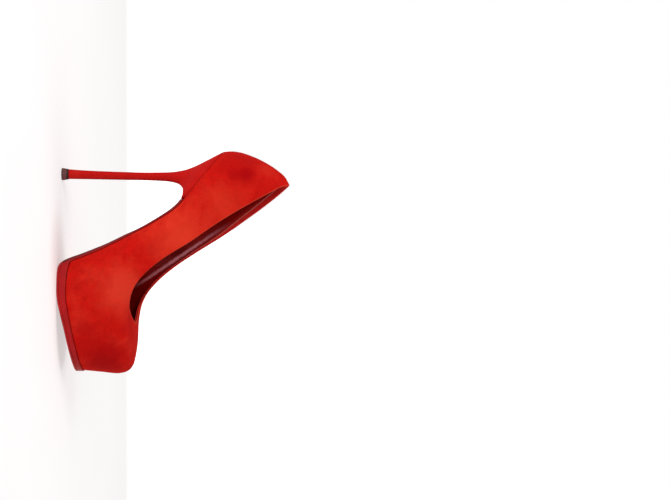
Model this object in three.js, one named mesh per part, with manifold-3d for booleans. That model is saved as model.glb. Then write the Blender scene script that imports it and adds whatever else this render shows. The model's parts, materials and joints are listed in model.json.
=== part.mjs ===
// A right-foot stiletto pump with a hidden platform.
// Millimetres. +X points to the toe, +Y to the inner (medial) side, +Z up.
import * as THREE from 'three';
import { mergeVertices } from 'three/addons/utils/BufferGeometryUtils.js';
import Module from 'manifold-3d';

const wasm = await Module();
wasm.setup();

// ---------------------------------------------------------------- overall sizes
const shoeLength = 205.5;     // back of the counter to the toe
const heelHeight = 150.6;     // floor to the back of the heel seat
const platformHeight = 42;    // floor to the top of the hidden platform, under the ball
const drawnLength = 205.5;    // the side outlines below are drawn for these three sizes
const drawnHeel = 150.6;
const drawnPlatform = 42;

// ---------------------------------------------------------------- skins and layers
const clearance = 0.3;        // left between touching pieces
const suedeWall = 1.2;
const stiffenerWall = 0.8;    // heel counter and toe puff
const liningWall = 0.9;
const facingWall = 0.8;
const facingBack = 6.5;       // strip turned in along the topline, wide at the back
const facingThroat = 4;       // and narrow at the throat
const boardThickness = 2.2;   // shank board and insole board
const sockThickness = 1.2;
const padThickness = 2.6;
const shankThickness = 1.5;
const shankWidth = 10;
const outsoleThickness = 2.4;
const outsoleBevel = 2.8;     // its lower edge is drawn in by this
const outsoleEdge = 0.8;      // and this much of its edge stays upright
const bandThickness = 1.6;
const bandProud = 0.9;        // the band and the sole stand out past the suede by this
const coverWall = 0.9;        // skin around the heel

// ---------------------------------------------------------------- heel
const tipLength = 11.3;
const tipWidth = 10.6;
const tipHeight = 6.4;
const tipFlare = 0.9;         // how much the tip's floor face stands out past its top, each side
const tipAxisX = -70.25;      // where the tip's centre stands
const stemDepth = 7.4;        // at its thinnest, heel to toe
const stemWidth = 7.8;        // at its thinnest, side to side
const stemBaseDepth = 9.0;    // just above the tip
const stemBaseWidth = 9.2;
const boreRadius = 1.6;
const rodRadius = 1.3;
const pinRadius = 1.2;
const pinInTip = 4.6;         // how deep the pin sits in the tip
const pinInHeel = 16;
const rodTop = 92;

// ---------------------------------------------------------------- fasteners
const nailRadius = 0.8;
const nailHeadRadius = 1.4;
const nailLength = 13;
const screwRadius = 1.7;
const screwHeadRadius = 2.9;
const screwLength = 26;
const rivetRadius = 1.3;
const rivetHeadRadius = 2.2;
const rivetHead = 0.7;
const headHeight = 1.0;

// ---------------------------------------------------------------- widths, [x, width, outward swing]
const soleWidths = [
  [-80, 40.5, 0.2], [-65, 51.5, 0.7], [-45, 47, 1.8], [-20, 38, 3], [5, 51, 3.5],
  [25, 70, 2], [45, 78, 1], [65, 78, 0.5], [85, 68.5, -0.2], [100, 49.5, -0.8],
];
const bulgeWidths = [
  [-76, 44.5, 0.2], [-62, 56, 0.5], [-40, 59, 1.5], [-15, 61, 2.5], [5, 67.5, 2.7],
  [25, 76.5, 1.7], [45, 81.5, 0.8], [65, 81.5, 0.3], [85, 73.5, -0.3], [102, 53.5, -0.8],
];
const toplineWidths = [
  [-52, 34.5, 0.2], [-40, 48, 0.5], [-20, 54, 1], [0, 59, 1.5], [20, 64.5, 1.2],
  [35, 64.5, 0.7], [50, 53, 0], [60, 32.5, -0.2],
];
const heelEndRadius = { sole: 24, bulge: 26, topline: 19 };
const toeEndRadius = { sole: 29, bulge: 31, topline: 14 };
const bulgeLevel = 0.5;       // share of the wall's height at which it is widest

// ---------------------------------------------------------------- curves
// A smooth line through points [x, value] that never swings past them.
function smoothLine(points) {
  const n = points.length;
  const steps = points.slice(1).map((p, i) => (p[1] - points[i][1]) / (p[0] - points[i][0]));
  const slopes = points.map((p, i) => {
    if (i === 0) return steps[0];
    if (i === n - 1) return steps[n - 2];
    if (steps[i - 1] * steps[i] <= 0) return 0;
    return (2 * steps[i - 1] * steps[i]) / (steps[i - 1] + steps[i]);
  });
  return (x) => {
    let i = 0;
    while (i < n - 2 && x > points[i + 1][0]) i += 1;
    const [x0, a] = points[i];
    const [x1, b] = points[i + 1];
    const width = x1 - x0;
    const t = (x - x0) / width;
    if (t < 0) return a + slopes[i] * (x - x0);
    if (t > 1) return b + slopes[i + 1] * (x - x1);
    const u = 1 - t;
    return a * u * u * (1 + 2 * t) + b * t * t * (3 - 2 * t)
      + width * t * u * (slopes[i] * u - slopes[i + 1] * t);
  };
}

const alongX = (x) => x * (shoeLength / drawnLength);

const heelStretch = (heelHeight - platformHeight) / (drawnHeel - drawnPlatform);

// Carries a drawn height to the platform's and the heel's real heights.
function lift(z) {
  if (z <= drawnPlatform) return z * (platformHeight / drawnPlatform);
  return platformHeight + (z - drawnPlatform) * heelStretch;
}

const outline = (points) => smoothLine(points.map(([x, z]) => [alongX(x), lift(z)]));

// Lower edge of the suede: heel rim, arch, then the top of the sole band.
const featherLine = outline([
  [-91, 150.6], [-80, 141.8], [-70, 133.6], [-58, 124], [-48, 115.8], [-43, 112], [-36.6, 104.8],
  [-29, 93], [-19.8, 77], [-13, 63.8], [-5, 48.4], [1.8, 33.8], [6.2, 23], [8.8, 15.6], [10.6, 12.2],
  [13.5, 10.7], [22, 9.4], [40, 8.6], [56, 10.8], [73.4, 14], [92, 17.2], [111.1, 20.6],
]);

// Underside of the outsole, flat where the shoe stands on it.
const underside = outline([
  [-46.4, 111.2], [-43.4, 108.8], [-38.8, 103.7], [-35.4, 99], [-27.4, 86.1], [-20.6, 74],
  [-13.9, 60], [-6.3, 44.6], [-0.2, 30], [3.9, 19.4], [7, 10.8], [9.8, 5], [13.2, 1.6],
  [17.5, 0.3], [23, 0], [36, 0], [46, 0.9], [57, 3.2], [73.4, 6.9], [90.4, 9.9], [112, 13.4],
]);

// Underside of the insole: along the arch, then over the platform.
const insoleLine = outline([
  [-91, 153.3], [-80, 144.5], [-70, 136.3], [-58, 126.8], [-48, 119], [-43, 115.4], [-36.6, 108.6],
  [-29, 97.6], [-19.8, 82.2], [-10, 66.2], [0, 54], [10, 47], [20, 43.6], [30, 42.3],
  [42, 42], [73, 43.4], [111, 47.4],
]);

// Topline on the outer side and on the inner side.
const outerTopline = outline([
  [-59.8, 211], [-58.2, 204.2], [-53.9, 196.2], [-43.4, 177.2], [-31.9, 157.4], [-20.5, 139.6],
  [-6.8, 120], [2.3, 105], [8, 96.2], [14.8, 87.4], [20.5, 81], [27.3, 74.8], [35.2, 69.8],
  [43.2, 66.8], [51.4, 65.4], [58.5, 66], [63.3, 67.3], [67, 68.6],
]);
const innerTopline = outline([
  [-59.8, 211], [-57, 207.8], [-46.9, 195.2], [-30.1, 172.4], [-13.2, 148], [3.8, 120.7],
  [12.2, 107.8], [20.7, 96.3], [29.2, 86.5], [37.7, 78.6], [46, 72.8], [56, 69.4], [67, 68.6],
]);

// Centre line of the back and of the toe, from the feather line (0) to the topline (1).
const backReach = smoothLine([
  [0, -91], [0.1, -91.4], [0.2, -90.4], [0.36, -87], [0.52, -82.5], [0.64, -78.1], [0.76, -73.4],
  [0.88, -67.8], [1, -59.8],
]);
const backRise = smoothLine([
  [0, 0], [0.1, 0.1], [0.2, 0.235], [0.36, 0.415], [0.52, 0.58], [0.64, 0.707], [0.76, 0.82],
  [0.88, 0.924], [1, 1],
]);
const toeReach = smoothLine([
  [0, 111.1], [0.25, 112.7], [0.5, 114.1], [0.58, 113], [0.66, 109.8], [0.74, 103.8], [0.84, 91.5],
  [1, 67],
]);
const toeRise = smoothLine([
  [0, 0], [0.25, 0.34], [0.5, 0.66], [0.58, 0.79], [0.66, 0.9], [0.74, 0.965], [0.84, 0.995], [1, 1],
]);

// ---------------------------------------------------------------- the upper's outer surface
const mix = THREE.MathUtils.lerp;
const smoothstep = (x, a, b) => THREE.MathUtils.smoothstep(x, a, b);

// x of the wall at a share of the length. The ends follow their centre lines, the sides run straight up.
const endPull = 4;
function reach(share, level) {
  const straight = (line) => mix(line(0), line(1), level);
  const back = backReach(level) - straight(backReach);
  const toe = toeReach(level) - straight(toeReach);
  const base = mix(straight(backReach), straight(toeReach), share);
  return alongX(base + back * (1 - share) ** endPull + toe * share ** endPull);
}

// The share at which the wall, at a level, reaches an x.
function shareReaching(x, level) {
  let low = 0;
  let high = 1;
  for (let i = 0; i < 30; i += 1) {
    const middle = (low + high) / 2;
    if (reach(middle, level) < x) low = middle;
    else high = middle;
  }
  return (low + high) / 2;
}

// How far round the half loop (0 back, 1 toe) a share of the length lies, and back.
const shareAt = (q) => (1 - Math.cos(Math.PI * q)) / 2;
const turnAt = (share) => Math.acos(1 - 2 * share) / Math.PI;
const endRound = (share) => 2 * Math.sqrt(Math.max(share * (1 - share), 0));

// Half width along a loop, with round ends. side is -1 outside and +1 inside.
function halfWidthLine(widths, level, heelRadius, toeRadius, side) {
  const length = reach(1, level) - reach(0, level);
  const points = widths.map(([x, width, swing]) => {
    const share = shareReaching(alongX(x), level);
    return [share, (width / 2 - side * swing) / endRound(share)];
  });
  const first = [0, Math.sqrt((heelRadius * length) / 2)];
  const last = [1, Math.sqrt((toeRadius * length) / 2)];
  const line = smoothLine([first, ...points, last]);
  return (share) => line(share) * endRound(share);
}

const halfWidths = {};
for (const side of [-1, 1]) {
  halfWidths[side] = {
    sole: halfWidthLine(soleWidths, 0, heelEndRadius.sole, toeEndRadius.sole, side),
    bulge: halfWidthLine(bulgeWidths, bulgeLevel, heelEndRadius.bulge, toeEndRadius.bulge, side),
    topline: halfWidthLine(toplineWidths, 1, heelEndRadius.topline, toeEndRadius.topline, side),
  };
}

function halfWidth(side, share, level) {
  const { sole, bulge, topline } = halfWidths[side];
  if (level < bulgeLevel) {
    const t = 1 - (1 - level / bulgeLevel) ** 2;
    return mix(sole(share), bulge(share), t);
  }
  return mix(bulge(share), topline(share), ((level - bulgeLevel) / (1 - bulgeLevel)) ** 1.6);
}

// turn goes once round the shoe: 0 back, 0 to 1 the outer side, 1 toe, 1 to 2 the inner side.
function skin(turn, level) {
  const wrapped = ((turn % 2) + 2) % 2;
  const side = wrapped <= 1 ? -1 : 1;
  const share = shareAt(wrapped <= 1 ? wrapped : 2 - wrapped);
  const topline = side < 0 ? outerTopline : innerTopline;
  const bottom = featherLine(reach(share, 0));
  const top = topline(reach(share, 1));
  const rearRise = mix(backRise(level), level, smoothstep(share, 0, 0.3));
  const rise = mix(rearRise, toeRise(level), smoothstep(share, 0.66, 0.98));
  return new THREE.Vector3(
    reach(share, level),
    side * halfWidth(side, share, level),
    mix(bottom, top, rise),
  );
}

// A point of the wall at a depth inside its outer surface.
function wall(turn, level, depth) {
  const step = 0.004;
  const low = Math.max(level - step, 0);
  const high = Math.min(level + step, 1);
  const across = skin(turn + step, level).sub(skin(turn - step, level));
  const up = skin(turn, high).sub(skin(turn, low));
  const inward = up.cross(across).normalize();
  return skin(turn, level).addScaledVector(inward, depth);
}

// The level at which the wall, at a depth, passes a height line.
function levelAt(turn, depth, line) {
  let low = 0;
  let high = 1;
  for (let i = 0; i < 30; i += 1) {
    const middle = (low + high) / 2;
    const point = wall(turn, middle, depth);
    if (point.z < line(point.x)) low = middle;
    else high = middle;
  }
  return (low + high) / 2;
}

// A height line lifted square to its own slope.
function raised(line, rise) {
  return (x) => {
    const slope = line(x + 0.5) - line(x - 0.5);
    const amount = typeof rise === 'function' ? rise(x) : rise;
    return line(x) + amount * Math.hypot(1, slope);
  };
}

// ---------------------------------------------------------------- solids
// Joins sections of two rows each (row a and row b, equally long) into one closed body.
// Facing quads of the two rows are split along the same diagonal, the short one.
function loft(sections, closed = false) {
  const rowLength = sections[0][0].length;
  const vertices = sections.flatMap(([a, b]) => [...a, ...b]);
  const count = sections.length;
  const faces = [];
  const at = (i, row, j) => ((i % count) * 2 + row) * rowLength + j;
  const quad = (p, q, r, s, otherWay = false) => {
    if (otherWay) faces.push(p, q, s, q, r, s);
    else faces.push(p, q, r, p, r, s);
  };
  const gap = (p, q) => vertices[p].distanceTo(vertices[q]);
  const last = rowLength - 1;
  const spans = closed ? count : count - 1;
  for (let i = 0; i < spans; i += 1) {
    const next = i + 1;
    for (let j = 0; j < last; j += 1) {
      const otherWay = gap(at(i, 0, j + 1), at(next, 0, j)) < 0.95 * gap(at(i, 0, j), at(next, 0, j + 1));
      quad(at(i, 0, j), at(i, 0, j + 1), at(next, 0, j + 1), at(next, 0, j), otherWay);
      quad(at(next, 1, j), at(next, 1, j + 1), at(i, 1, j + 1), at(i, 1, j), !otherWay);
    }
    quad(at(i, 0, last), at(i, 1, last), at(next, 1, last), at(next, 0, last));
    quad(at(i, 1, 0), at(i, 0, 0), at(next, 0, 0), at(next, 1, 0));
  }
  if (!closed) {
    const end = count - 1;
    for (let j = 0; j < last; j += 1) {
      quad(at(0, 1, j), at(0, 1, j + 1), at(0, 0, j + 1), at(0, 0, j));
      quad(at(end, 0, j), at(end, 0, j + 1), at(end, 1, j + 1), at(end, 1, j));
    }
  }
  return closedBody(vertices, faces);
}

function closedBody(vertices, faces) {
  let volume = 0;
  const normal = new THREE.Vector3();
  for (let i = 0; i < faces.length; i += 3) {
    normal.crossVectors(vertices[faces[i + 1]], vertices[faces[i + 2]]);
    volume += vertices[faces[i]].dot(normal);
  }
  const outward = volume < 0 ? faces.slice().reverse() : faces;
  const geometry = new THREE.BufferGeometry();
  const positions = vertices.flatMap((v) => v.toArray());
  geometry.setAttribute('position', new THREE.Float32BufferAttribute(positions, 3));
  geometry.setIndex(outward);
  return geometry;
}

function toManifold(geometry) {
  const bare = geometry.clone();
  bare.deleteAttribute('normal');
  bare.deleteAttribute('uv');
  const merged = mergeVertices(bare, 1e-5);
  return new wasm.Manifold(new wasm.Mesh({
    numProp: 3,
    vertProperties: new Float32Array(merged.attributes.position.array),
    triVerts: new Uint32Array(merged.index.array),
  }));
}

function fromManifold(solid) {
  const mesh = solid.getMesh();
  const geometry = new THREE.BufferGeometry();
  geometry.setAttribute('position', new THREE.Float32BufferAttribute(mesh.vertProperties, 3));
  geometry.setIndex(Array.from(mesh.triVerts));
  return geometry;
}

function cut(geometry, cutters) {
  const solid = cutters.reduce((body, cutter) => body.subtract(toManifold(cutter)), toManifold(geometry));
  return fromManifold(solid);
}

const shoe = new THREE.Group();

function addPiece(name, geometry, color, roughness, metalness = 0) {
  const material = new THREE.MeshStandardMaterial({ color, roughness, metalness, flatShading: true });
  const mesh = new THREE.Mesh(geometry, material);
  mesh.name = name;
  shoe.add(mesh);
  return mesh;
}

function range(count, from = 0, to = 1) {
  return Array.from({ length: count + 1 }, (_, i) => mix(from, to, i / count));
}

// A shell between two depths of the wall, from one row of the wall's grid to another.
function shell({ columns, rows, outer, inner, topGap = 0, closed = false }) {
  const sections = columns.map((column) => {
    const turn = gridTurn(column);
    const levels = wallGrid(turn).slice(rows[0], rows[1] + 1);
    levels[levels.length - 1] -= topGap / ribLength(turn);
    return [outer, inner].map((depth) => levels.map(
      (level, i) => wall(turn, level, depth(column, rows[0] + i)),
    ));
  });
  return loft(sections, closed);
}

// A layer across the shoe, from wall to wall, between two height lines.
function layer({ from, to, edge, bottom, top }) {
  const cornerAt = (turn, line) => {
    const point = wall(turn, levelAt(turn, edge, line), edge);
    point.z = line(point.x);
    return point;
  };
  const side = (turn) => [bottom, top].map((line) => cornerAt(turn, line));
  return loft(turnsBetween(from, to).map((turn) => [side(turn), side(2 - turn)]));
}

// Share of the sole's length at a drawn x.
const shareOfLength = (x) => (alongX(x) - reach(0, 0)) / (reach(1, 0) - reach(0, 0));

// ---------------------------------------------------------------- the wall's grid
// Every shell of the wall has its corners on one grid, so the shells nest without touching.
const aroundCount = 60;
const halfCount = aroundCount / 2;
const crowding = 0.5;         // columns stand closer at the ends and where the band meets the arch
const rowsBelowFoot = 4;
const rowsToFacing = 7;
const rowsOfFacing = 2;
const footRow = rowsBelowFoot;
const facingRow = footRow + rowsToFacing;
const topRow = facingRow + rowsOfFacing;

const columnsBetween = (from, to) => range(to - from, from, to);

function gridTurn(column) {
  const even = column / halfCount;
  return even - (crowding * Math.sin(4 * Math.PI * even)) / (4 * Math.PI);
}

// Stations for the layers between two drawn x: the grid's columns, each halved, and both ends.
const stationTurns = range(aroundCount, 0, halfCount).map(gridTurn);
function turnsBetween(from, to) {
  const ends = [from, to].map((x) => turnAt(shareOfLength(x)));
  const inner = stationTurns.filter((turn) => turn > ends[0] + 0.004 && turn < ends[1] - 0.004);
  return [ends[0], ...inner, ends[1]];
}

// Length of a rib of the wall, from the feather line to the topline.
function ribLength(turn) {
  const points = range(12).map((level) => skin(turn, level));
  return points.slice(1).reduce((sum, p, i) => sum + p.distanceTo(points[i]), 0);
}

const footEase = 0.8;         // the lining and the stiffeners stop this much higher above the board
const liningFoot = raised(insoleLine, boardThickness + clearance + footEase);
const footDepth = suedeWall + stiffenerWall + 2 * clearance;

const fromBack = (turn) => 1 - Math.abs(1 - Math.abs(turn));

function wallGrid(turn) {
  const foot = levelAt(turn, footDepth, liningFoot);
  const facingWidth = mix(facingBack, facingThroat, smoothstep(fromBack(turn), 0.15, 0.75));
  const facing = 1 - facingWidth / ribLength(turn);
  return [
    ...range(rowsBelowFoot, 0, foot),
    ...range(rowsToFacing, foot, facing).slice(1),
    ...range(rowsOfFacing, facing, 1).slice(1),
  ];
}

// ---------------------------------------------------------------- upper, facing, stiffeners, lining
const counterColumn = 9;      // the counter ends here, counted round from the back
const puffColumn = 24;        // the toe puff starts here
const seamColumn = 17;        // vamp and quarter linings meet here
const stiffenerRow = 8;       // both stiffeners end at this row
const insideSuede = suedeWall + clearance;

addPiece('suede_upper', shell({
  columns: columnsBetween(0, aroundCount - 1),
  rows: [0, topRow],
  outer: () => 0,
  inner: () => suedeWall,
  closed: true,
}), 0xc8201a, 0.95);

addPiece('topline_facing', shell({
  columns: columnsBetween(0, aroundCount - 1),
  rows: [facingRow, topRow],
  outer: () => insideSuede,
  inner: () => insideSuede + facingWall,
  closed: true,
}), 0xb81c18, 0.8);

const stiffeners = [
  ['heel_counter', columnsBetween(-counterColumn, counterColumn), 0xcbb592],
  ['toe_puff', columnsBetween(puffColumn, aroundCount - puffColumn), 0xd8cdb8],
];
for (const [name, columns, color] of stiffeners) {
  addPiece(name, shell({
    columns,
    rows: [footRow, stiffenerRow],
    outer: () => insideSuede,
    inner: () => insideSuede + stiffenerWall,
  }), color, 0.8);
}

// The lining steps in where a stiffener lies behind it.
function liningDepth(column, row) {
  const columnFromBack = halfCount - Math.abs(halfCount - Math.abs(column));
  const overCounter = 1 - smoothstep(columnFromBack, counterColumn, counterColumn + 2);
  const overPuff = smoothstep(columnFromBack, puffColumn - 2, puffColumn);
  const under = 1 - smoothstep(row, stiffenerRow, stiffenerRow + 2);
  return insideSuede + Math.max(overCounter, overPuff) * under * (stiffenerWall + clearance);
}

// The two linings meet at a seam, and end just short of the facing.
const facingGap = 1.3;
const seamGap = 0.12;         // in columns
const liningPieces = [
  ['quarter_lining', -seamColumn, seamColumn],
  ['vamp_lining', seamColumn, aroundCount - seamColumn],
];
for (const [name, from, to] of liningPieces) {
  const columns = columnsBetween(from, to);
  columns[0] += seamGap / 2;
  columns[columns.length - 1] -= seamGap / 2;
  addPiece(name, shell({
    columns,
    rows: [footRow, facingRow],
    topGap: facingGap,
    outer: liningDepth,
    inner: (column, row) => liningDepth(column, row) + liningWall,
  }), 0x5e0c14, 0.35);
}

// ---------------------------------------------------------------- insole, pads, sock lining
const edgeEase = 0.4;         // layers that fill the shoe keep this much more from the wall
const boardEdge = insideSuede + edgeEase;
const liningEnd = footDepth + liningWall + clearance + edgeEase;
const boardTop = raised(insoleLine, boardThickness);
const boardSplit = -4;
const splitGap = 0.15;
const padBed = raised(insoleLine, boardThickness + clearance);
const heelPadEnds = [-84, -50];
const forefootPadEnds = [6, 98];
const padRamp = 9;

// The sock lining is lifted over each pad.
function padLift(x) {
  const bump = ([from, to]) => smoothstep(x, alongX(from) - padRamp, alongX(from) + padRamp)
    * (1 - smoothstep(x, alongX(to) - padRamp, alongX(to) + padRamp));
  return (padThickness + clearance) * Math.min(bump(heelPadEnds) + bump(forefootPadEnds), 1);
}

const sockBack = -86.5;
const sockFront = 107.5;
addPiece('sock_lining', layer({
  from: sockBack,
  to: sockFront,
  edge: liningEnd,
  bottom: raised(insoleLine, (x) => boardThickness + clearance + padLift(x)),
  top: raised(insoleLine, (x) => boardThickness + clearance + padLift(x) + sockThickness),
}), 0x6a1018, 0.4);

const pads = [['heel_pad', heelPadEnds], ['forefoot_pad', forefootPadEnds]];
for (const [name, [from, to]] of pads) {
  addPiece(name, layer({
    from,
    to,
    edge: liningEnd + 1,
    bottom: padBed,
    top: raised(insoleLine, (x) => boardThickness + padLift(x)),
  }), 0xd9c7a3, 0.9);
}

// ---------------------------------------------------------------- fasteners
// A straight pin with a head, standing upright, its head's top at z.
function headedPin(radius, headRadius, length, x, y, z, grow = 0) {
  const profile = [
    [0, -length - grow], [radius + grow, -length - grow], [radius + grow, -headHeight - grow],
    [headRadius + grow, -headHeight - grow], [headRadius + grow, grow], [0, grow],
  ];
  const geometry = new THREE.LatheGeometry(profile.map(([r, h]) => new THREE.Vector2(r, h)), 12);
  geometry.rotateX(Math.PI / 2);
  geometry.translate(x, y, z);
  return geometry;
}

const nailPlaces = [[-77, -9], [-77, 9], [-63, -9], [-63, 9]];
const screwPlace = [-69, 0];

// The head's rim lies just under the board's top on its low side.
function headTop(x, headRadius) {
  return boardTop(x + headRadius) - clearance;
}

const fasteners = nailPlaces.map(([x, y], i) => ({
  name: `heel_nail_${i + 1}`,
  x: alongX(x),
  y,
  radius: nailRadius,
  head: nailHeadRadius,
  length: nailLength * Math.min(1, heelStretch),
}));
fasteners.push({
  name: 'heel_screw',
  x: alongX(screwPlace[0]),
  y: screwPlace[1],
  radius: screwRadius,
  head: screwHeadRadius,
  length: screwLength * Math.min(1, heelStretch),
});

const accessHeight = 8;        // the cut above a head, so it can be driven
const fastenerHoles = [];
for (const { name, x, y, radius, head, length } of fasteners) {
  const z = headTop(x, head);
  addPiece(name, headedPin(radius, head, length, x, y, z), 0x9a9a9e, 0.4, 1);
  fastenerHoles.push(headedPin(radius, head, length, x, y, z, clearance));
  const above = new THREE.CylinderGeometry(head + clearance, head + clearance, accessHeight, 12);
  above.rotateX(Math.PI / 2);
  above.translate(x, y, z + accessHeight / 2);
  fastenerHoles.push(above);
}

// Two rivets square to the arch, through the shank and the shank board.
const rivetPlaces = [-33, -23];
const rivetHoles = [];
rivetPlaces.forEach((drawnX, i) => {
  const x = alongX(drawnX);
  const slope = insoleLine(x + 0.5) - insoleLine(x - 0.5);
  const reachDown = shankThickness + 2 * clearance;
  const reachUp = boardThickness - clearance;
  const profile = (grow) => [
    [0, -reachDown - grow],
    [rivetRadius + grow, -reachDown - grow],
    [rivetRadius + grow, reachUp - rivetHead - grow],
    [rivetHeadRadius + grow, reachUp - rivetHead - grow],
    [rivetHeadRadius + grow, reachUp + grow],
    [0, reachUp + grow],
  ].map(([r, h]) => new THREE.Vector2(r, h));
  const place = (grow) => {
    const geometry = new THREE.LatheGeometry(profile(grow), 12);
    geometry.rotateX(Math.PI / 2);
    geometry.rotateY(-Math.atan(slope));
    geometry.translate(x, 0, insoleLine(x));
    return geometry;
  };
  addPiece(`shank_rivet_${i + 1}`, place(0), 0xb0a070, 0.4, 1);
  rivetHoles.push(place(clearance));
});

// ---------------------------------------------------------------- boards and shank
const boardBack = -89;
const boardFront = 108;
const boards = [
  ['shank_board', boardBack, boardSplit - splitGap],
  ['insole_board', boardSplit + splitGap, boardFront],
];
for (const [name, from, to] of boards) {
  const board = layer({
    from, to, edge: boardEdge, bottom: raised(insoleLine, 0), top: boardTop,
  });
  const holes = name === 'shank_board' ? [...fastenerHoles, ...rivetHoles] : [];
  addPiece(name, holes.length ? cut(board, holes) : board, 0xa88a5c, 0.9);
}

// A strip along the middle of the shoe between two height lines.
function strip(from, to, width, bottom, top) {
  return loft(turnsBetween(from, to).map((turn) => [-1, 1].map((side) => [bottom, top].map((line) => {
    const x = reach(shareAt(turn), 0);
    return new THREE.Vector3(x, (side * width) / 2, line(x));
  }))));
}

const shankTop = raised(insoleLine, -clearance);
const shankBottom = raised(insoleLine, -clearance - shankThickness);
const shankBack = -79;
const shankFront = -17;
const shank = strip(shankBack, shankFront, shankWidth, shankBottom, shankTop);
addPiece('steel_shank', cut(shank, [...fastenerHoles, ...rivetHoles]), 0xb8bcc2, 0.35, 1);

// ---------------------------------------------------------------- platform, band, outsole
const blockStart = -12;
const blockEnd = 109;
const blockLow = raised(featherLine, clearance);
const blockHigh = raised(insoleLine, -clearance);
const blockRows = 5;
const blockTurns = turnsBetween(blockStart, blockEnd);
addPiece('platform_block', loft(blockTurns.map((turn) => [turn, 2 - turn].map((t) => {
  const low = levelAt(t, boardEdge, blockLow);
  const high = levelAt(t, boardEdge, blockHigh);
  return range(blockRows, low, high).map((level) => wall(t, level, boardEdge));
}))), 0xb99a6b, 0.95);

const bandLow = raised(underside, outsoleThickness + clearance);
const bandHigh = raised(featherLine, -clearance);
const bandStart = 31;         // the band and the board in it start at these stations, behind the ball
const midsoleStart = 32;
const bandTurns = stationTurns.slice(bandStart);
const bandLoop = [...bandTurns.slice(0, -1), ...bandTurns.map((turn) => 2 - turn).reverse()];

// A point of the sole's edge at a height line, standing out past the suede's lower edge.
function edgePoint(turn, out, line) {
  const point = wall(turn, 0, -out);
  point.z = line(point.x);
  return point;
}

addPiece('sole_band', loft(bandLoop.map((turn) => [bandProud, bandProud - bandThickness]
  .map((out) => [bandLow, bandHigh].map((line) => edgePoint(turn, out, line))))), 0xb81e20, 0.45);

const midsoleEdge = bandProud - bandThickness - clearance;
const midsoleTurns = stationTurns.slice(midsoleStart, -2);
addPiece('midsole_board', loft(midsoleTurns.map((turn) => [turn, 2 - turn]
  .map((t) => [bandLow, bandHigh].map((line) => edgePoint(t, midsoleEdge, line))))), 0xa88a5c, 0.9);

// The outsole stands out with the band and draws in under the arch, where it fills up to the suede.
const soleBack = -46.4;
const soleToeStation = 48;
const archFront = 10.8;
const ballBack = 12.2;
const archEase = 0.5;
const archTop = raised(featherLine, -clearance - archEase);
const ballTop = raised(underside, outsoleThickness);
const soleTop = (x) => mix(archTop(x), ballTop(x), smoothstep(x, archFront, ballBack));
const soleSide = (x) => mix(underside(x), soleTop(x), 1 - outsoleEdge / outsoleThickness);
const soleOut = (turn) => bandProud * smoothstep(turn, bandTurns[0] - 0.08, bandTurns[0]);
const soleTurns = [
  ...turnsBetween(soleBack, 60).slice(0, -1),
  ...stationTurns.slice(soleToeStation, -1),
];

function soleRow(turn, share) {
  const out = soleOut(share);
  return [
    edgePoint(turn, out - outsoleBevel, underside),
    edgePoint(turn, out, soleSide),
    edgePoint(turn, out, soleTop),
  ];
}

addPiece(
  'outsole',
  loft(soleTurns.map((turn) => [soleRow(turn, turn), soleRow(2 - turn, turn)])),
  0xa01818,
  0.5,
);

// ---------------------------------------------------------------- heel
// Sections from the tip to the rim: back [x, z], front [x, z], width. They lean near the rim.
const tipGap = tipHeight + clearance;
const stem = (centre, z, depth, width) => ({
  back: [centre - depth / 2, z],
  front: [centre + depth / 2, z],
  width,
});
const cup = (back, front, width) => ({
  back: [alongX(back[0]), lift(back[1])],
  front: [alongX(front[0]), lift(front[1])],
  width,
});
const heelSections = [
  stem(alongX(tipAxisX), tipGap, stemBaseDepth, stemBaseWidth),
  stem(alongX(-69.6), lift(22), mix(stemBaseDepth, stemDepth, 0.55), mix(stemBaseWidth, stemWidth, 0.55)),
  stem(alongX(-68.7), lift(52), stemDepth, stemWidth),
  stem(alongX(-68.1), lift(80), stemDepth, stemWidth),
  cup([-72, 98], [-63.4, 98], 10),
  cup([-73.6, 111.5], [-61.3, 107.2], 15),
  cup([-76.8, 121.6], [-58.6, 110.9], 24),
  cup([-81.4, 131.6], [-55.4, 112.7], 36),
  cup([-86.2, 141.4], [-51.3, 112.9], 46),
  cup([-90, 148.6], [-46.9, 111.3], 51),
  cup([-91, 150.6], [-46.7, 114], 52),
];
const rimPower = 30;          // only the last section bends to the rim line
const cupStart = 4;           // the section where the stem opens into the cup
const heelRows = 16;
const heelSide = 8;           // points down each side of a section

const spread = (pick) => smoothLine(heelSections.map((section, i) => [i, pick(section)]));
const heelLines = {
  backX: spread((section) => section.back[0]),
  backZ: spread((section) => section.back[1]),
  frontX: spread((section) => section.front[0]),
  frontZ: spread((section) => section.front[1]),
  width: spread((section) => section.width),
};
const lastSection = heelSections.length - 1;

const ringBack = 0.06;        // a section's first and last points, as shares of its depth
const ringFront = 0.94;

// One side of a section, from its back to its flat front, drawn in by an inset.
function heelRow(row, side, inset) {
  const cupped = smoothstep(row, cupStart, lastSection);
  const cornerPower = mix(3, 14, cupped);
  const backX = heelLines.backX(row) + inset;
  const frontX = heelLines.frontX(row) - inset;
  return range(heelSide).map((turn) => {
    const along = shareAt(mix(ringBack, ringFront, turn));
    const x = mix(backX, frontX, along);
    const stemSide = (heelLines.width(row) / 2) * (along < 0.5 ? endRound(along) : 1);
    const seatShare = (x - reach(0, 0)) / (reach(1, 0) - reach(0, 0));
    const cupSide = halfWidths[side].sole(Math.max(seatShare, 0)) - inset;
    const corner = (1 - along ** cornerPower) ** (1 / cornerPower);
    const insetSide = stemSide - inset * (along < 0.5 ? endRound(along) : 1);
    const y = mix(insetSide, cupSide, cupped ** 3) * corner;
    const flatZ = mix(heelLines.backZ(row), heelLines.frontZ(row), along);
    const z = mix(flatZ, featherLine(x) - clearance, cupped ** rimPower);
    return new THREE.Vector3(x, side * Math.max(y, 0.2), z);
  });
}

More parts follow.
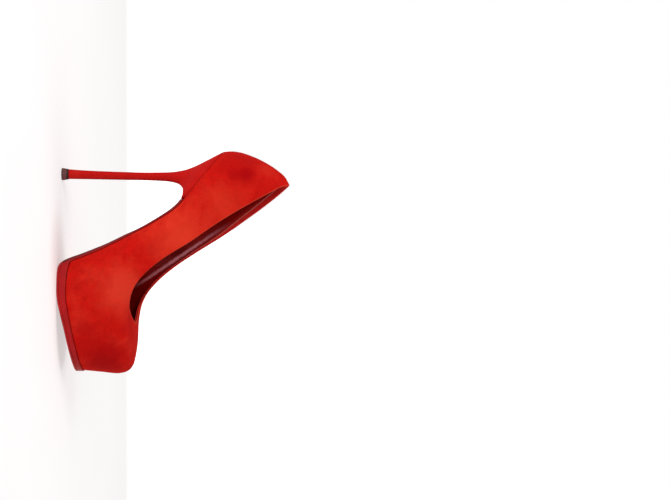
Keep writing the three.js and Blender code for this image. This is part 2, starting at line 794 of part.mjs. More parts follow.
const heelRing = (row, inset) => [-1, 1].map((side) => heelRow(row, side, inset));
const heelRowList = range(heelRows, 0, lastSection);

// The skin is a tube: up its outer face, then down its inner face.
const loopOf = ([a, b]) => [...a, ...[...b].reverse()];
const coverSections = heelRowList.map((row) => [
  loopOf(heelRing(row, 0)),
  loopOf(heelRing(row, coverWall)),
]);

// Joins two nested columns of rings into one closed tube wall.
function tubeWall(sections) {
  const loopLength = sections[0][0].length;
  const vertices = sections.flatMap(([outer, inner]) => [...outer, ...inner]);
  const faces = [];
  const at = (i, inner, j) => i * 2 * loopLength + (inner ? loopLength : 0) + (j % loopLength);
  const quad = (p, q, r, s) => faces.push(p, q, r, p, r, s);
  const last = sections.length - 1;
  for (let j = 0; j < loopLength; j += 1) {
    for (let i = 0; i < last; i += 1) {
      quad(at(i, 0, j), at(i, 0, j + 1), at(i + 1, 0, j + 1), at(i + 1, 0, j));
      quad(at(i, 1, j + 1), at(i, 1, j), at(i + 1, 1, j), at(i + 1, 1, j + 1));
    }
    quad(at(0, 1, j), at(0, 1, j + 1), at(0, 0, j + 1), at(0, 0, j));
    quad(at(last, 0, j), at(last, 0, j + 1), at(last, 1, j + 1), at(last, 1, j));
  }
  return closedBody(vertices, faces);
}

addPiece('heel_cover', tubeWall(coverSections), 0xbe1814, 0.8);

// An upright bore along the stem's own lean.
const stemFoot = new THREE.Vector3(alongX(tipAxisX), 0, tipGap);
const stemHead = new THREE.Vector3(alongX(-68), 0, lift(rodTop));
const stemLean = stemHead.clone().sub(stemFoot).normalize();

function stemRod(radius, fromZ, toZ, sides = 12) {
  const at = (z) => stemFoot.clone().addScaledVector(stemLean, (z - stemFoot.z) / stemLean.z);
  const start = at(fromZ);
  const end = at(toZ);
  const geometry = new THREE.CylinderGeometry(radius, radius, start.distanceTo(end), sides);
  const upright = new THREE.Vector3(0, 1, 0);
  geometry.applyQuaternion(new THREE.Quaternion().setFromUnitVectors(upright, stemLean));
  const middle = start.add(end).multiplyScalar(0.5);
  geometry.translate(middle.x, middle.y, middle.z);
  return geometry;
}

const coreEase = 0.25;        // the core keeps this much more from its skin
const core = loft(heelRowList.map((row) => heelRing(row, coverWall + clearance + coreEase)));
const bore = stemRod(boreRadius, 0, lift(rodTop) + clearance);
addPiece('heel_core', cut(core, [bore, ...fastenerHoles]), 0xe4ddcf, 0.7);
addPiece('heel_rod', stemRod(rodRadius, tipGap + pinInHeel + clearance, lift(rodTop)), 0x9a9a9e, 0.4, 1);

// ---------------------------------------------------------------- heel tip
// A D-shaped block that stands out a little at the floor.
function tipRing(z, out) {
  return [-1, 1].map((side) => range(heelSide).map((turn) => {
    const along = shareAt(mix(ringBack, ringFront, turn));
    const depth = tipLength - 2 * tipFlare + 2 * out;
    const width = tipWidth - 2 * tipFlare + 2 * out;
    const corner = (1 - along ** 4) ** (1 / 4);
    const y = (width / 2) * (along < 0.5 ? endRound(along) : 1) * corner;
    return new THREE.Vector3(alongX(tipAxisX) + depth * (along - 0.5), side * y, z);
  }));
}

const tipEdge = 0.5;          // worn edge at the floor
const tipBlock = loft([
  tipRing(0, tipFlare * 0.8),
  tipRing(tipEdge, tipFlare),
  tipRing(tipHeight * 0.45, tipFlare * 0.75),
  tipRing(tipHeight, 0),
]);
const pinFoot = tipHeight - pinInTip;
const pinHole = stemRod(pinRadius + clearance, pinFoot - clearance, tipHeight + tipEdge);
addPiece('top_piece', cut(tipBlock, [pinHole]), 0x3a2a28, 0.6);
addPiece('top_piece_pin', stemRod(pinRadius, pinFoot, tipGap + pinInHeel), 0x9a9a9e, 0.4, 1);

// ---------------------------------------------------------------- origin: under the middle of the shoe
const box = new THREE.Box3().setFromObject(shoe);
const centre = box.getCenter(new THREE.Vector3());
shoe.position.set(-centre.x, -centre.y, -box.min.z);
shoe.updateMatrixWorld(true);

export default shoe;
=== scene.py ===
import json
import math

import bmesh
import bpy
import numpy as np
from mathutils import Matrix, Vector

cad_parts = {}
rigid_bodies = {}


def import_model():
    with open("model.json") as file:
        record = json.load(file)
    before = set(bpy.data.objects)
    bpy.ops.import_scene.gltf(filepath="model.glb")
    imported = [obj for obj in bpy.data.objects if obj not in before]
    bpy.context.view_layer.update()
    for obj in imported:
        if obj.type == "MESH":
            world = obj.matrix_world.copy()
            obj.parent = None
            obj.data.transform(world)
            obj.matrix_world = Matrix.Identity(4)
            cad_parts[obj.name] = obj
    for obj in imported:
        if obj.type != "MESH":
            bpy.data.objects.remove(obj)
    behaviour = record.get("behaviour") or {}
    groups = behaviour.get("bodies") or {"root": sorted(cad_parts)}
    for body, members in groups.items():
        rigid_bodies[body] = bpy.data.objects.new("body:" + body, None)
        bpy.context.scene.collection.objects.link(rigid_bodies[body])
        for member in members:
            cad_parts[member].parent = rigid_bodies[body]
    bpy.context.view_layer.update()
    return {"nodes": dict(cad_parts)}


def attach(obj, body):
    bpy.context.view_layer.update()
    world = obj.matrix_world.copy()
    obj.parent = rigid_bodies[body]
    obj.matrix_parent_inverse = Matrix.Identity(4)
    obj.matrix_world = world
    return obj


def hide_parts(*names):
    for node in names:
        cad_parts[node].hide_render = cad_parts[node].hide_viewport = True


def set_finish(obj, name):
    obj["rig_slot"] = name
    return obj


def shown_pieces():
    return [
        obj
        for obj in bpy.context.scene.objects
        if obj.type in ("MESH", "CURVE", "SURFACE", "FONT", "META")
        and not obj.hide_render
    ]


for leftOver in list(bpy.data.objects):
    bpy.data.objects.remove(leftOver)

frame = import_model()
nodes = frame["nodes"]

# The shoe is drawn in millimetres from the camera's axis, and moved to the frame at the end.
shoe = {
    "middle": (11.3463, -0.4614, 0.0),
    "endPull": 4,
    "rearBlend": (0, 0.3),
    "toeBlend": (0.66, 0.98),
    "bulgeLevel": 0.5,
    "lowPower": 2,
    "highPower": 1.6,
    "levelStep": 0.004,
    "halvings": 30,
    "ribPoints": 25,
    "aroundCount": 60,
    "crowding": 0.5,
    "clearance": 0.3,
    "seamGap": 0.08,
}


def addCamera():
    settings = {"axisX": 0.0, "distance": 1800.0, "height": 252.8, "lens": 104.5, "sensor": 36}
    data = bpy.data.cameras.new("camera")
    data.lens = settings["lens"]
    data.sensor_width = settings["sensor"]
    camera = bpy.data.objects.new("camera", data)
    bpy.context.scene.collection.objects.link(camera)
    across = settings["axisX"] - shoe["middle"][0]
    camera.location = (across / 1000, -settings["distance"] / 1000, settings["height"] / 1000)
    camera.rotation_euler = (math.pi / 2, -math.pi / 2, 0)
    bpy.context.scene.camera = camera


addCamera()
print("camera stands")


# curves of the shoe
def mix(a, b, t):
    return a + (b - a) * t


def smoothstep(x, low, high):
    t = np.clip((np.asarray(x, float) - low) / (high - low), 0, 1)
    return t * t * (3 - 2 * t)


# A smooth line through points [x, value] that never swings past them.
def smoothLine(points):
    xs, ys = (np.array(column, float) for column in zip(*points))
    steps = np.diff(ys) / np.diff(xs)
    slopes = np.zeros(len(xs))
    slopes[0], slopes[-1] = steps[0], steps[-1]
    same = steps[:-1] * steps[1:] > 0
    before, after = steps[:-1][same], steps[1:][same]
    slopes[1:-1][same] = 2 * before * after / (before + after)

    def line(x):
        x = np.asarray(x, float)
        i = np.clip(np.searchsorted(xs, x) - 1, 0, len(xs) - 2)
        width = xs[i + 1] - xs[i]
        t = np.clip((x - xs[i]) / width, 0, 1)
        u = 1 - t
        value = ys[i] * u * u * (1 + 2 * t) + ys[i + 1] * t * t * (3 - 2 * t)
        value = value + width * t * u * (slopes[i] * u - slopes[i + 1] * t)
        value = value + slopes[0] * np.minimum(x - xs[0], 0)
        return value + slopes[-1] * np.maximum(x - xs[-1], 0)

    return line


featherLine = smoothLine([
    (-91, 150.6), (-80, 141.8), (-70, 133.6), (-58, 124), (-48, 115.8), (-43, 112), (-36.6, 104.8),
    (-29, 93), (-19.8, 77), (-13, 63.8), (-5, 48.4), (1.8, 33.8), (6.2, 23), (8.8, 15.6), (10.6, 12.2),
    (13.5, 10.7), (22, 9.4), (40, 8.6), (56, 10.8), (73.4, 14), (92, 17.2), (111.1, 20.6),
])
underside = smoothLine([
    (-46.4, 111.2), (-43.4, 108.8), (-38.8, 103.7), (-35.4, 99), (-27.4, 86.1), (-20.6, 74),
    (-13.9, 60), (-6.3, 44.6), (-0.2, 30), (3.9, 19.4), (7, 10.8), (9.8, 5), (13.2, 1.6),
    (17.5, 0.3), (23, 0), (36, 0), (46, 0.9), (57, 3.2), (73.4, 6.9), (90.4, 9.9), (112, 13.4),
])
insoleLine = smoothLine([
    (-91, 153.3), (-80, 144.5), (-70, 136.3), (-58, 126.8), (-48, 119), (-43, 115.4), (-36.6, 108.6),
    (-29, 97.6), (-19.8, 82.2), (-10, 66.2), (0, 54), (10, 47), (20, 43.6), (30, 42.3),
    (42, 42), (73, 43.4), (111, 47.4),
])
outerTopline = smoothLine([
    (-59.8, 211), (-58.2, 204.2), (-53.9, 196.2), (-43.4, 177.2), (-31.9, 157.4), (-20.5, 139.6),
    (-6.8, 120), (2.3, 105), (8, 96.2), (14.8, 87.4), (20.5, 81), (27.3, 74.8), (35.2, 69.8),
    (43.2, 66.8), (51.4, 65.4), (58.5, 66), (63.3, 67.3), (67, 68.6),
])
innerTopline = smoothLine([
    (-59.8, 211), (-57, 207.8), (-46.9, 195.2), (-30.1, 172.4), (-13.2, 148), (3.8, 120.7),
    (12.2, 107.8), (20.7, 96.3), (29.2, 86.5), (37.7, 78.6), (46, 72.8), (56, 69.4), (67, 68.6),
])
backReach = smoothLine([
    (0, -91), (0.1, -91.4), (0.2, -90.4), (0.36, -87), (0.52, -82.5), (0.64, -78.1), (0.76, -73.4),
    (0.88, -67.8), (1, -59.8),
])
backRise = smoothLine([
    (0, 0), (0.1, 0.1), (0.2, 0.235), (0.36, 0.415), (0.52, 0.58), (0.64, 0.707), (0.76, 0.82),
    (0.88, 0.924), (1, 1),
])
toeReach = smoothLine([
    (0, 111.1), (0.25, 112.7), (0.5, 114.1), (0.58, 113), (0.66, 109.8), (0.74, 103.8), (0.84, 91.5),
    (1, 67),
])
toeRise = smoothLine([
    (0, 0), (0.25, 0.34), (0.5, 0.66), (0.58, 0.79), (0.66, 0.9), (0.74, 0.965), (0.84, 0.995), (1, 1),
])

# [x, width, swing to the outer side], with the radius of each end
widths = {
    "sole": {
        "level": 0, "heel": 24, "toe": 29,
        "points": [
            (-80, 40.5, 0.2), (-65, 51.5, 0.7), (-45, 47, 1.8), (-20, 38, 3), (5, 51, 3.5),
            (25, 70, 2), (45, 78, 1), (65, 78, 0.5), (85, 68.5, -0.2), (100, 49.5, -0.8),
        ],
    },
    "bulge": {
        "level": 0.5, "heel": 26, "toe": 31,
        "points": [
            (-76, 44.5, 0.2), (-62, 56, 0.5), (-40, 59, 1.5), (-15, 61, 2.5), (5, 67.5, 2.7),
            (25, 76.5, 1.7), (45, 81.5, 0.8), (65, 81.5, 0.3), (85, 73.5, -0.3), (102, 53.5, -0.8),
        ],
    },
    "topline": {
        "level": 1, "heel": 19, "toe": 14,
        "points": [
            (-52, 34.5, 0.2), (-40, 48, 0.5), (-20, 54, 1), (0, 59, 1.5), (20, 64.5, 1.2),
            (35, 64.5, 0.7), (50, 53, 0), (60, 32.5, -0.2),
        ],
    },
}


def reach(share, level):
    def straight(line):
        return mix(line(0), line(1), level)

    back = backReach(level) - straight(backReach)
    toe = toeReach(level) - straight(toeReach)
    base = mix(straight(backReach), straight(toeReach), share)
    return base + back * (1 - share) ** shoe["endPull"] + toe * share ** shoe["endPull"]


# where the test stops being true between low and high
def halve(test, low, high):
    for _ in range(shoe["halvings"]):
        middle = (low + high) / 2
        below = test(middle)
        low, high = np.where(below, middle, low), np.where(below, high, middle)
    return (low + high) / 2


def shareAt(q):
    return (1 - np.cos(np.pi * q)) / 2


def turnAt(share):
    return np.arccos(1 - 2 * share) / np.pi


def endRound(share):
    return 2 * np.sqrt(np.maximum(share * (1 - share), 0))


def halfWidthLine(table, side):
    level = table["level"]
    length = reach(1, level) - reach(0, level)
    x, width, swing = (np.array(column, float) for column in zip(*table["points"]))
    share = halve(lambda s: reach(s, level) < x, np.zeros(len(x)), np.ones(len(x)))
    half = (width / 2 - side * swing) / endRound(share)
    ends = (math.sqrt(table["heel"] * length / 2), math.sqrt(table["toe"] * length / 2))
    line = smoothLine([(0, ends[0]), *zip(share, half), (1, ends[1])])
    return lambda s: line(s) * endRound(s)


halfWidths = {
    side: {name: halfWidthLine(table, side) for name, table in widths.items()} for side in (-1, 1)
}


def halfWidth(side, share, level):
    lines = halfWidths[side]
    bulge = shoe["bulgeLevel"]
    low = 1 - (1 - np.minimum(level, bulge) / bulge) ** shoe["lowPower"]
    high = (np.maximum(level - bulge, 0) / (1 - bulge)) ** shoe["highPower"]
    lower = mix(lines["sole"](share), lines["bulge"](share), low)
    return np.where(level < bulge, lower, mix(lines["bulge"](share), lines["topline"](share), high))


# A point of the shoe's outer skin. Turn runs from the heel (0) along the outer side to the toe (1) and back
# along the inner side (2), and level from the sole's edge (0) to the topline (1).
def skin(turn, level):
    turn, level = np.broadcast_arrays(np.mod(turn, 2.0), np.asarray(level, float))
    outer = turn <= 1
    share = shareAt(np.where(outer, turn, 2 - turn))
    bottom = featherLine(reach(share, 0))
    topX = reach(share, 1)
    top = np.where(outer, outerTopline(topX), innerTopline(topX))
    rearRise = mix(backRise(level), level, smoothstep(share, *shoe["rearBlend"]))
    rise = mix(rearRise, toeRise(level), smoothstep(share, *shoe["toeBlend"]))
    half = np.where(outer, -halfWidth(-1, share, level), halfWidth(1, share, level))
    return np.stack([reach(share, level), half, mix(bottom, top, rise)], -1)


# the skin moved inward by depth
def wall(turn, level, depth):
    step = shoe["levelStep"]
    level = np.asarray(level, float)
    low, high = np.maximum(level - step, 0), np.minimum(level + step, 1)
    across = skin(turn + step, level) - skin(turn - step, level)
    up = skin(turn, high) - skin(turn, low)
    inward = np.cross(up, across)
    inward = inward / np.linalg.norm(inward, axis=-1, keepdims=True)
    return skin(turn, level) + inward * np.asarray(depth, float)[..., None]


# the level at which the wall at this depth meets a height line
def levelAt(turn, depth, line):
    def below(level):
        point = wall(turn, level, depth)
        return point[..., 2] < line(point[..., 0])

    turn = np.asarray(turn, float)
    return halve(below, np.zeros(turn.shape), np.ones(turn.shape))


# a height line moved up by rise, measured square to the line
def raised(line, rise):
    def lifted(x):
        amount = rise(x) if callable(rise) else rise
        return line(x) + amount * np.hypot(1, line(x + 0.5) - line(x - 0.5))

    return lifted


def gridTurn(column):
    even = np.asarray(column, float) / (shoe["aroundCount"] / 2)
    return even - shoe["crowding"] * np.sin(4 * np.pi * even) / (4 * np.pi)


def ribLength(turn):
    ribs = skin(np.asarray(turn, float)[:, None], np.linspace(0, 1, shoe["ribPoints"])[None, :])
    return np.linalg.norm(np.diff(ribs, axis=1), axis=-1).sum(1)


def turnOfX(x):
    return turnAt((np.asarray(x, float) - reach(0, 0)) / (reach(1, 0) - reach(0, 0)))


# A piece from a grid of points [around, along its section], with the two counts as its UV map "fit".
def meshPiece(name, points, slot, replaced):
    countU, countV = points.shape[0] - 1, points.shape[1] - 1
    placed = (points - np.array(shoe["middle"])) / 1000
    form = bmesh.new()
    form.loops.layers.uv.new("fit")
    bmesh.ops.create_grid(form, x_segments=countU, y_segments=countV, size=0.5, calc_uvs=True)
    for vert in form.verts:
        vert.co = placed[round((vert.co.x + 0.5) * countU), round((vert.co.y + 0.5) * countV)]
    bmesh.ops.remove_doubles(form, verts=form.verts, dist=2e-6)
    bmesh.ops.dissolve_degenerate(form, edges=form.edges, dist=1e-7)
    openEdges = [edge for edge in form.edges if edge.is_boundary]
    if openEdges:
        bmesh.ops.holes_fill(form, edges=openEdges, sides=0)
    bmesh.ops.recalc_face_normals(form, faces=form.faces)
    for face in form.faces:
        face.smooth = True
    mesh = bpy.data.meshes.new(name)
    form.to_mesh(mesh)
    form.free()
    piece = bpy.data.objects.new(name, mesh)
    bpy.context.scene.collection.objects.link(piece)
    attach(piece, "root")
    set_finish(piece, slot)
    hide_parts(replaced)
    print("made", name)
    return piece


# Levels and depths of a closed wall section: up the outer face, over, down the inner face, under.
def wallSection(turns, low, high, outer, inner, rows, innerRows):
    rib = ribLength(turns)
    rise = np.linspace(0, 1, rows)
    fall = np.linspace(1, 0, innerRows)
    swings = np.linspace(0, math.pi, skins["roundRows"] + 2)[1:-1]
    radius = (inner(turns, 1.0) - outer(turns, 1.0)) / 2
    lowRadius = (inner(turns, 0.0) - outer(turns, 0.0)) / 2
    top, bottom = high - radius / rib, low + lowRadius / rib
    levels, depths = [], []
    for r in rise:
        levels.append(mix(bottom, top, r))
        depths.append(outer(turns, r))
    for swing in swings:
        levels.append(top + radius * math.sin(swing) / rib)
        depths.append(mix(outer(turns, 1.0), inner(turns, 1.0), (1 - math.cos(swing)) / 2))
    for r in fall:
        levels.append(mix(bottom, top, r))
        depths.append(inner(turns, r))
    for swing in swings:
        levels.append(bottom - lowRadius * math.sin(swing) / rib)
        depths.append(mix(inner(turns, 0.0), outer(turns, 0.0), (1 - math.cos(swing)) / 2))
    levels.append(levels[0])
    depths.append(depths[0])
    return np.clip(np.stack(levels, 1), 0, 1), np.stack(depths, 1)


def shellPiece(name, columns, low, high, outer, inner, rows, innerRows, slot, replaced, shape=None):
    turns = gridTurn(columns)
    closed = abs(columns[-1] - columns[0] - shoe["aroundCount"]) < 1e-6
    levels, depths = wallSection(turns, low(turns), high(turns), outer, inner, rows, innerRows)
    if shape is not None:
        depths = depths + shape(turns, levels)
    points = wall(turns[:, None], levels, depths)
    if closed:
        points[-1] = points[0]
    return meshPiece(name, points, slot, replaced)


skins = {
    "suedeWall": 1.2, "stiffenerWall": 0.8, "liningWall": 0.9, "facingWall": 0.8,
    "facingBack": 6.5, "facingThroat": 4.0, "facingTaper": (0.15, 0.75), "boardThickness": 2.2,
    "sockThickness": 1.2, "padThickness": 2.6, "edgeEase": 0.4, "facingGap": 1.3, "roundRows": 4,
    "counterColumn": 9, "puffColumn": 24, "stepColumns": 2, "seamColumn": 17,
    "lowRow": 4, "rowsUp": 7, "stepRows": (8, 10),
}
insideSuede = skins["suedeWall"] + shoe["clearance"]
footDepth = skins["suedeWall"] + skins["stiffenerWall"] + 2 * shoe["clearance"]
liningEnd = footDepth + skins["liningWall"] + shoe["clearance"] + skins["edgeEase"]
liningFoot = raised(insoleLine, skins["boardThickness"] + shoe["clearance"])


def zero(turns):
    return np.zeros(np.shape(turns))


def one(turns):
    return np.ones(np.shape(turns))


def even(depth):
    return lambda turns, rise: np.full(np.shape(turns), float(depth))


def fromBack(turns):
    return 1 - np.abs(1 - np.mod(turns, 2.0))


def facingFoot(turns):
    share = smoothstep(fromBack(turns), *skins["facingTaper"])
    return 1 - mix(skins["facingBack"], skins["facingThroat"], share) / ribLength(turns)


def footLevel(turns):
    return levelAt(turns, footDepth, liningFoot)


# the closed back seam is a shallow groove
upper = {"columns": 320, "rows": 70, "innerRows": 18, "seamDepth": 0.32, "seamHalf": 0.0042}


def backSeam(turns, levels):
    off = np.minimum(np.mod(turns, 2.0), 2 - np.mod(turns, 2.0))[:, None]
    groove = np.exp(-((off / upper["seamHalf"]) ** 2)) * upper["seamDepth"]
    return groove * np.ones(levels.shape)


shellPiece(
    "suedeUpper", np.linspace(0, shoe["aroundCount"], upper["columns"] + 1), zero, one,
    even(0), even(skins["suedeWall"]), upper["rows"], upper["innerRows"],
    "suede", "suede_upper", backSeam)

facing = {"columns": 240, "rows": 8}
shellPiece(
    "toplineFacing", np.linspace(0, shoe["aroundCount"], facing["columns"] + 1), facingFoot, one,
    even(insideSuede), even(insideSuede + skins["facingWall"]), facing["rows"], facing["rows"],
    "suede_edge", "topline_facing")


# The lining lies on the suede, and steps inward over the two stiffeners.
def liningOuter(turns, rise):
    column = columnOf(turns)
    half = shoe["aroundCount"] / 2
    back = half - np.abs(half - np.abs(column))
    counter, puff, run = skins["counterColumn"], skins["puffColumn"], skins["stepColumns"]
    overCounter = 1 - smoothstep(back, counter, counter + run)
    overPuff = smoothstep(back, puff - run, puff)
    under = 1 - smoothstep(skins["lowRow"] + skins["rowsUp"] * rise, *skins["stepRows"])
    step = skins["stiffenerWall"] + shoe["clearance"]
    return insideSuede + np.maximum(overCounter, overPuff) * under * step


def liningInner(turns, rise):
    return liningOuter(turns, rise) + skins["liningWall"]


tableColumns = np.linspace(-30, 90, 2401)
tableTurns = gridTurn(tableColumns)


def columnOf(turns):
    return np.interp(turns, tableTurns, tableColumns)


def liningTop(turns):
    return facingFoot(turns) - skins["facingGap"] / ribLength(turns)


lining = {"columns": 150, "rows": 40, "gap": 0.008}
seam = skins["seamColumn"]
liningParts = {
    "quarterLining": (-seam, seam, "quarter_lining"),
    "vampLining": (seam, shoe["aroundCount"] - seam, "vamp_lining"),
}
for liningName, (start, end, replaced) in liningParts.items():
    columns = np.linspace(start + lining["gap"], end - lining["gap"], lining["columns"] + 1)
    shellPiece(
        liningName, columns, footLevel, liningTop, liningOuter, liningInner, lining["rows"],
        lining["rows"], "lining", replaced)


def stations(start, end, count):
    ends = turnOfX([start, end])
    return np.linspace(ends[0], ends[1], count)


# A closed section at each station: along the bottom, up one edge, back along the top, down the other.
def layerPiece(name, turns, edge, bottom, top, across, slot, replaced, roundness=0.5, crown=None):
    depth = edge(turns) if callable(edge) else np.full(turns.shape, float(edge))
    left, right = (wall(t, levelAt(t, depth, bottom), depth) for t in (turns, 2 - turns))
    x = (left[:, 0] + right[:, 0]) / 2
    low, high = bottom(x), top(x)
    middle = (left[:, 1] + right[:, 1]) / 2
    half = (right[:, 1] - left[:, 1]) / 2
    thick = high - low
    swings = np.linspace(0, np.pi, 9)[1:-1]
    radius = np.minimum(roundness * thick, half * 0.4)
    rows = []
    for s in np.linspace(-1, 1, across):
        rows.append((s * (half - radius), zero(x)))
    for swing in swings:
        rows.append((half - radius + radius * np.sin(swing), thick * (1 - np.cos(swing)) / 2))
    for s in np.linspace(1, -1, across):
        lift = thick if crown is None else thick * crown(s, x)
        rows.append((s * (half - radius), lift))
    for swing in swings:
        rows.append((-(half - radius + radius * np.sin(swing)), thick * (1 + np.cos(swing)) / 2))
    rows.append(rows[0])
    points = np.stack([np.stack([x, middle + y, low + z], -1) for y, z in rows], 1)
    return meshPiece(name, points, slot, replaced)


pads = {
    "heelPad": {"from": -84, "to": -50, "node": "heel_pad"},
    "forefootPad": {"from": 6, "to": 98, "node": "forefoot_pad"},
}
padShape = {
    "slope": 9, "inset": 0.4, "stations": 60, "across": 24, "edge": liningEnd + 1, "roundness": 0.45,
    "crownPower": 4, "crown": 0.25, "endRun": 6, "endHeight": 0.7, "fill": 0.7,
}


# how far the sock lining is lifted by the pads under it
def padLift(x):
    slope = padShape["slope"]
    share = 0
    for pad in pads.values():
        rising = smoothstep(x, pad["from"] - slope, pad["from"] + slope)
        share = share + rising * (1 - smoothstep(x, pad["to"] - slope, pad["to"] + slope))
    return (skins["padThickness"] + shoe["clearance"]) * np.minimum(share, 1)


boardTop = skins["boardThickness"] + shoe["clearance"]
sock = {"from": -87.2, "to": 107.5, "stations": 160, "across": 28, "fit": 0.12}
layerPiece(
    "sockLining", stations(sock["from"], sock["to"], sock["stations"]),
    lambda turns: liningInner(turns, 0.0) + sock["fit"],
    raised(insoleLine, lambda x: boardTop + padLift(x)),
    raised(insoleLine, lambda x: boardTop + padLift(x) + skins["sockThickness"]),
    sock["across"], "sock", "sock_lining")

# The pads swell in the middle and thin out to their edges.
padBed = raised(insoleLine, boardTop)
padTop = raised(insoleLine, lambda x: skins["boardThickness"] + padLift(x))
for padName, pad in pads.items():
    def padCrown(s, x, pad=pad):
        endShare = np.minimum(x - pad["from"], pad["to"] - x) / padShape["endRun"]
        sides = 1 - padShape["crown"] * abs(s) ** padShape["crownPower"]
        return sides * mix(padShape["endHeight"], 1, np.clip(endShare, 0, 1))

    ends = (pad["from"] + padShape["inset"], pad["to"] - padShape["inset"])
    cushion = layerPiece(
        padName, stations(*ends, padShape["stations"]), padShape["edge"], padBed, padTop,
        padShape["across"], "foam", pad["node"], roundness=padShape["roundness"], crown=padCrown)


# the band around the platform and the outsole under it
sole = {
    "thickness": 2.4, "bevel": 2.8, "edge": 0.8, "bandThickness": 1.6, "proud": 0.9,
    "bandStation": 31, "seam": 0.06, "topSeam": 0.14, "archSeam": 0.2, "archFront": 12.6,
    "ballBack": 12.66, "back": -46.5,
}
bandLow = raised(underside, sole["thickness"] + sole["seam"])
bandHigh = raised(featherLine, -sole["topSeam"])
bandTurn = float(gridTurn(sole["bandStation"] / 2))


def edgePoints(turns, out):
    return wall(turns, np.zeros(np.shape(turns)), np.full(np.shape(turns), -float(out)))


def bandPiece():
    band = {"stations": 260, "faceRows": 9, "rounding": 0.55}
    turns = np.linspace(bandTurn, 2 - bandTurn, band["stations"])
    r, proud, thick = band["rounding"], sole["proud"], sole["bandThickness"]

    def corner(degrees, edge):
        angle = math.radians(degrees)
        return (proud - r * (1 - math.cos(angle)), r * (1 - math.sin(angle)), edge)

    rows = [(proud, r, s) for s in np.linspace(0, 1, band["faceRows"])]
    rows += [corner(angle, 1) for angle in (30, 60)]
    rows += [(proud - r, 0, 1), (proud - thick, 0, 1), (proud - thick, 0, 0), (proud - r, 0, 0)]
    rows += [corner(angle, 0) for angle in (60, 30)]
    rows.append(rows[0])
    sections = []
    for out, inset, s in rows:
        point = edgePoints(turns, out)
        low, high = bandLow(point[:, 0]), bandHigh(point[:, 0])
        point[:, 2] = mix(low + inset, high - inset, s)
        sections.append(point)
    meshPiece("soleBand", np.stack(sections, 1), "band_leather", "sole_band")


bandPiece()
archTop = raised(featherLine, -sole["archSeam"])
ballTop = raised(underside, sole["thickness"])


def soleTop(x):
    return mix(archTop(x), ballTop(x), smoothstep(x, sole["archFront"], sole["ballBack"]))


def outsolePiece():
    settings = {
        "stations": 230, "across": 26, "toeTurn": 0.975, "stepEase": 0.02, "stepClear": 0.002,
        "flareRun": 0.08, "topEdge": 0.25, "bevelShare": 0.5, "bevelAngles": (15, 30, 45, 60, 75),
    }
    start = float(turnOfX(sole["back"]))
    turns = np.linspace(start, settings["toeTurn"], settings["stations"])
    step = turnOfX([sole["archFront"] - settings["stepEase"], sole["ballBack"] + settings["stepEase"]])
    clear = np.abs(turns - step.mean()) > settings["stepClear"]
    turns = np.sort(np.concatenate([turns[clear], step]))
    out = sole["proud"] * smoothstep(turns, bandTurn - settings["flareRun"], bandTurn)
    left = np.stack([edgePoints(np.array([t]), o)[0] for t, o in zip(turns, out)])
    right = np.stack([edgePoints(np.array([2 - t]), o)[0] for t, o in zip(turns, out)])
    x = (left[:, 0] + right[:, 0]) / 2
    middle, half = (left[:, 1] + right[:, 1]) / 2, (right[:, 1] - left[:, 1]) / 2
    low, high = underside(x), soleTop(x)
    side = mix(low, high, 1 - sole["edge"] / sole["thickness"])
    bevel = np.minimum(sole["bevel"], half * settings["bevelShare"])
    topEdge = settings["topEdge"]
    angles = np.radians(settings["bevelAngles"])
    bevelled = [(half - bevel * (1 - math.sin(a)), mix(low, side, 1 - math.cos(a))) for a in angles]
    rows = [(s * (half - bevel), low) for s in np.linspace(-1, 1, settings["across"])]
    rows += [*bevelled, (half, side), (half, high - topEdge)]
    rows += [(s * (half - topEdge), high) for s in np.linspace(1, -1, settings["across"])]
    rows += [(-half, high - topEdge), (-half, side), *((-y, z) for y, z in reversed(bevelled))]
    rows.append(rows[0])
    points = np.stack([np.stack([x, middle + y, z], -1) for y, z in rows], 1)
    meshPiece("outsole.leather", points, "sole_leather", "outsole")


outsolePiece()

heel = {
    "tipHeight": 6.4, "tipAxis": -70.25, "coverWall": 0.9, "cupStart": 4, "rimPower": 30,
    "rows": 130, "around": 112, "innerRows": 60, "lipStart": 4.4, "lipFull": 5.6,
    "lipAlong": (0.3, 0.9), "stemPower": 3, "cupPower": 14, "widthPower": 3, "coreInset": 1.2,
    "coreRows": 70, "coreStart": 0.02, "coreDrop": 0.15, "seatInset": 3.0, "seatRise": 2.0,
}


def stem(centre, z, depth, width):
    return (centre - depth / 2, z, centre + depth / 2, z, width)


# from the tip to the rim: back [x, z], front [x, z], width
heelSections = [
    stem(heel["tipAxis"], heel["tipHeight"] + shoe["clearance"], 9.0, 9.2),
    stem(-69.6, 22, mix(9.0, 7.4, 0.55), mix(9.2, 7.8, 0.55)),
    stem(-68.7, 52, 7.4, 7.8),
    stem(-68.1, 80, 7.4, 7.8),
    (-72, 98, -63.4, 98, 10),
    (-73.6, 111.5, -61.3, 107.2, 15),
    (-76.8, 121.6, -58.6, 110.9, 24),
    (-81.4, 131.6, -55.4, 112.7, 36),
    (-86.2, 141.4, -51.3, 112.9, 46),
    (-90, 148.6, -46.9, 111.3, 51),
    (-91, 150.6, -46.7, 114, 52),
]
heelLines = [smoothLine(list(enumerate(column))) for column in zip(*heelSections)]
lastSection = len(heelSections) - 1


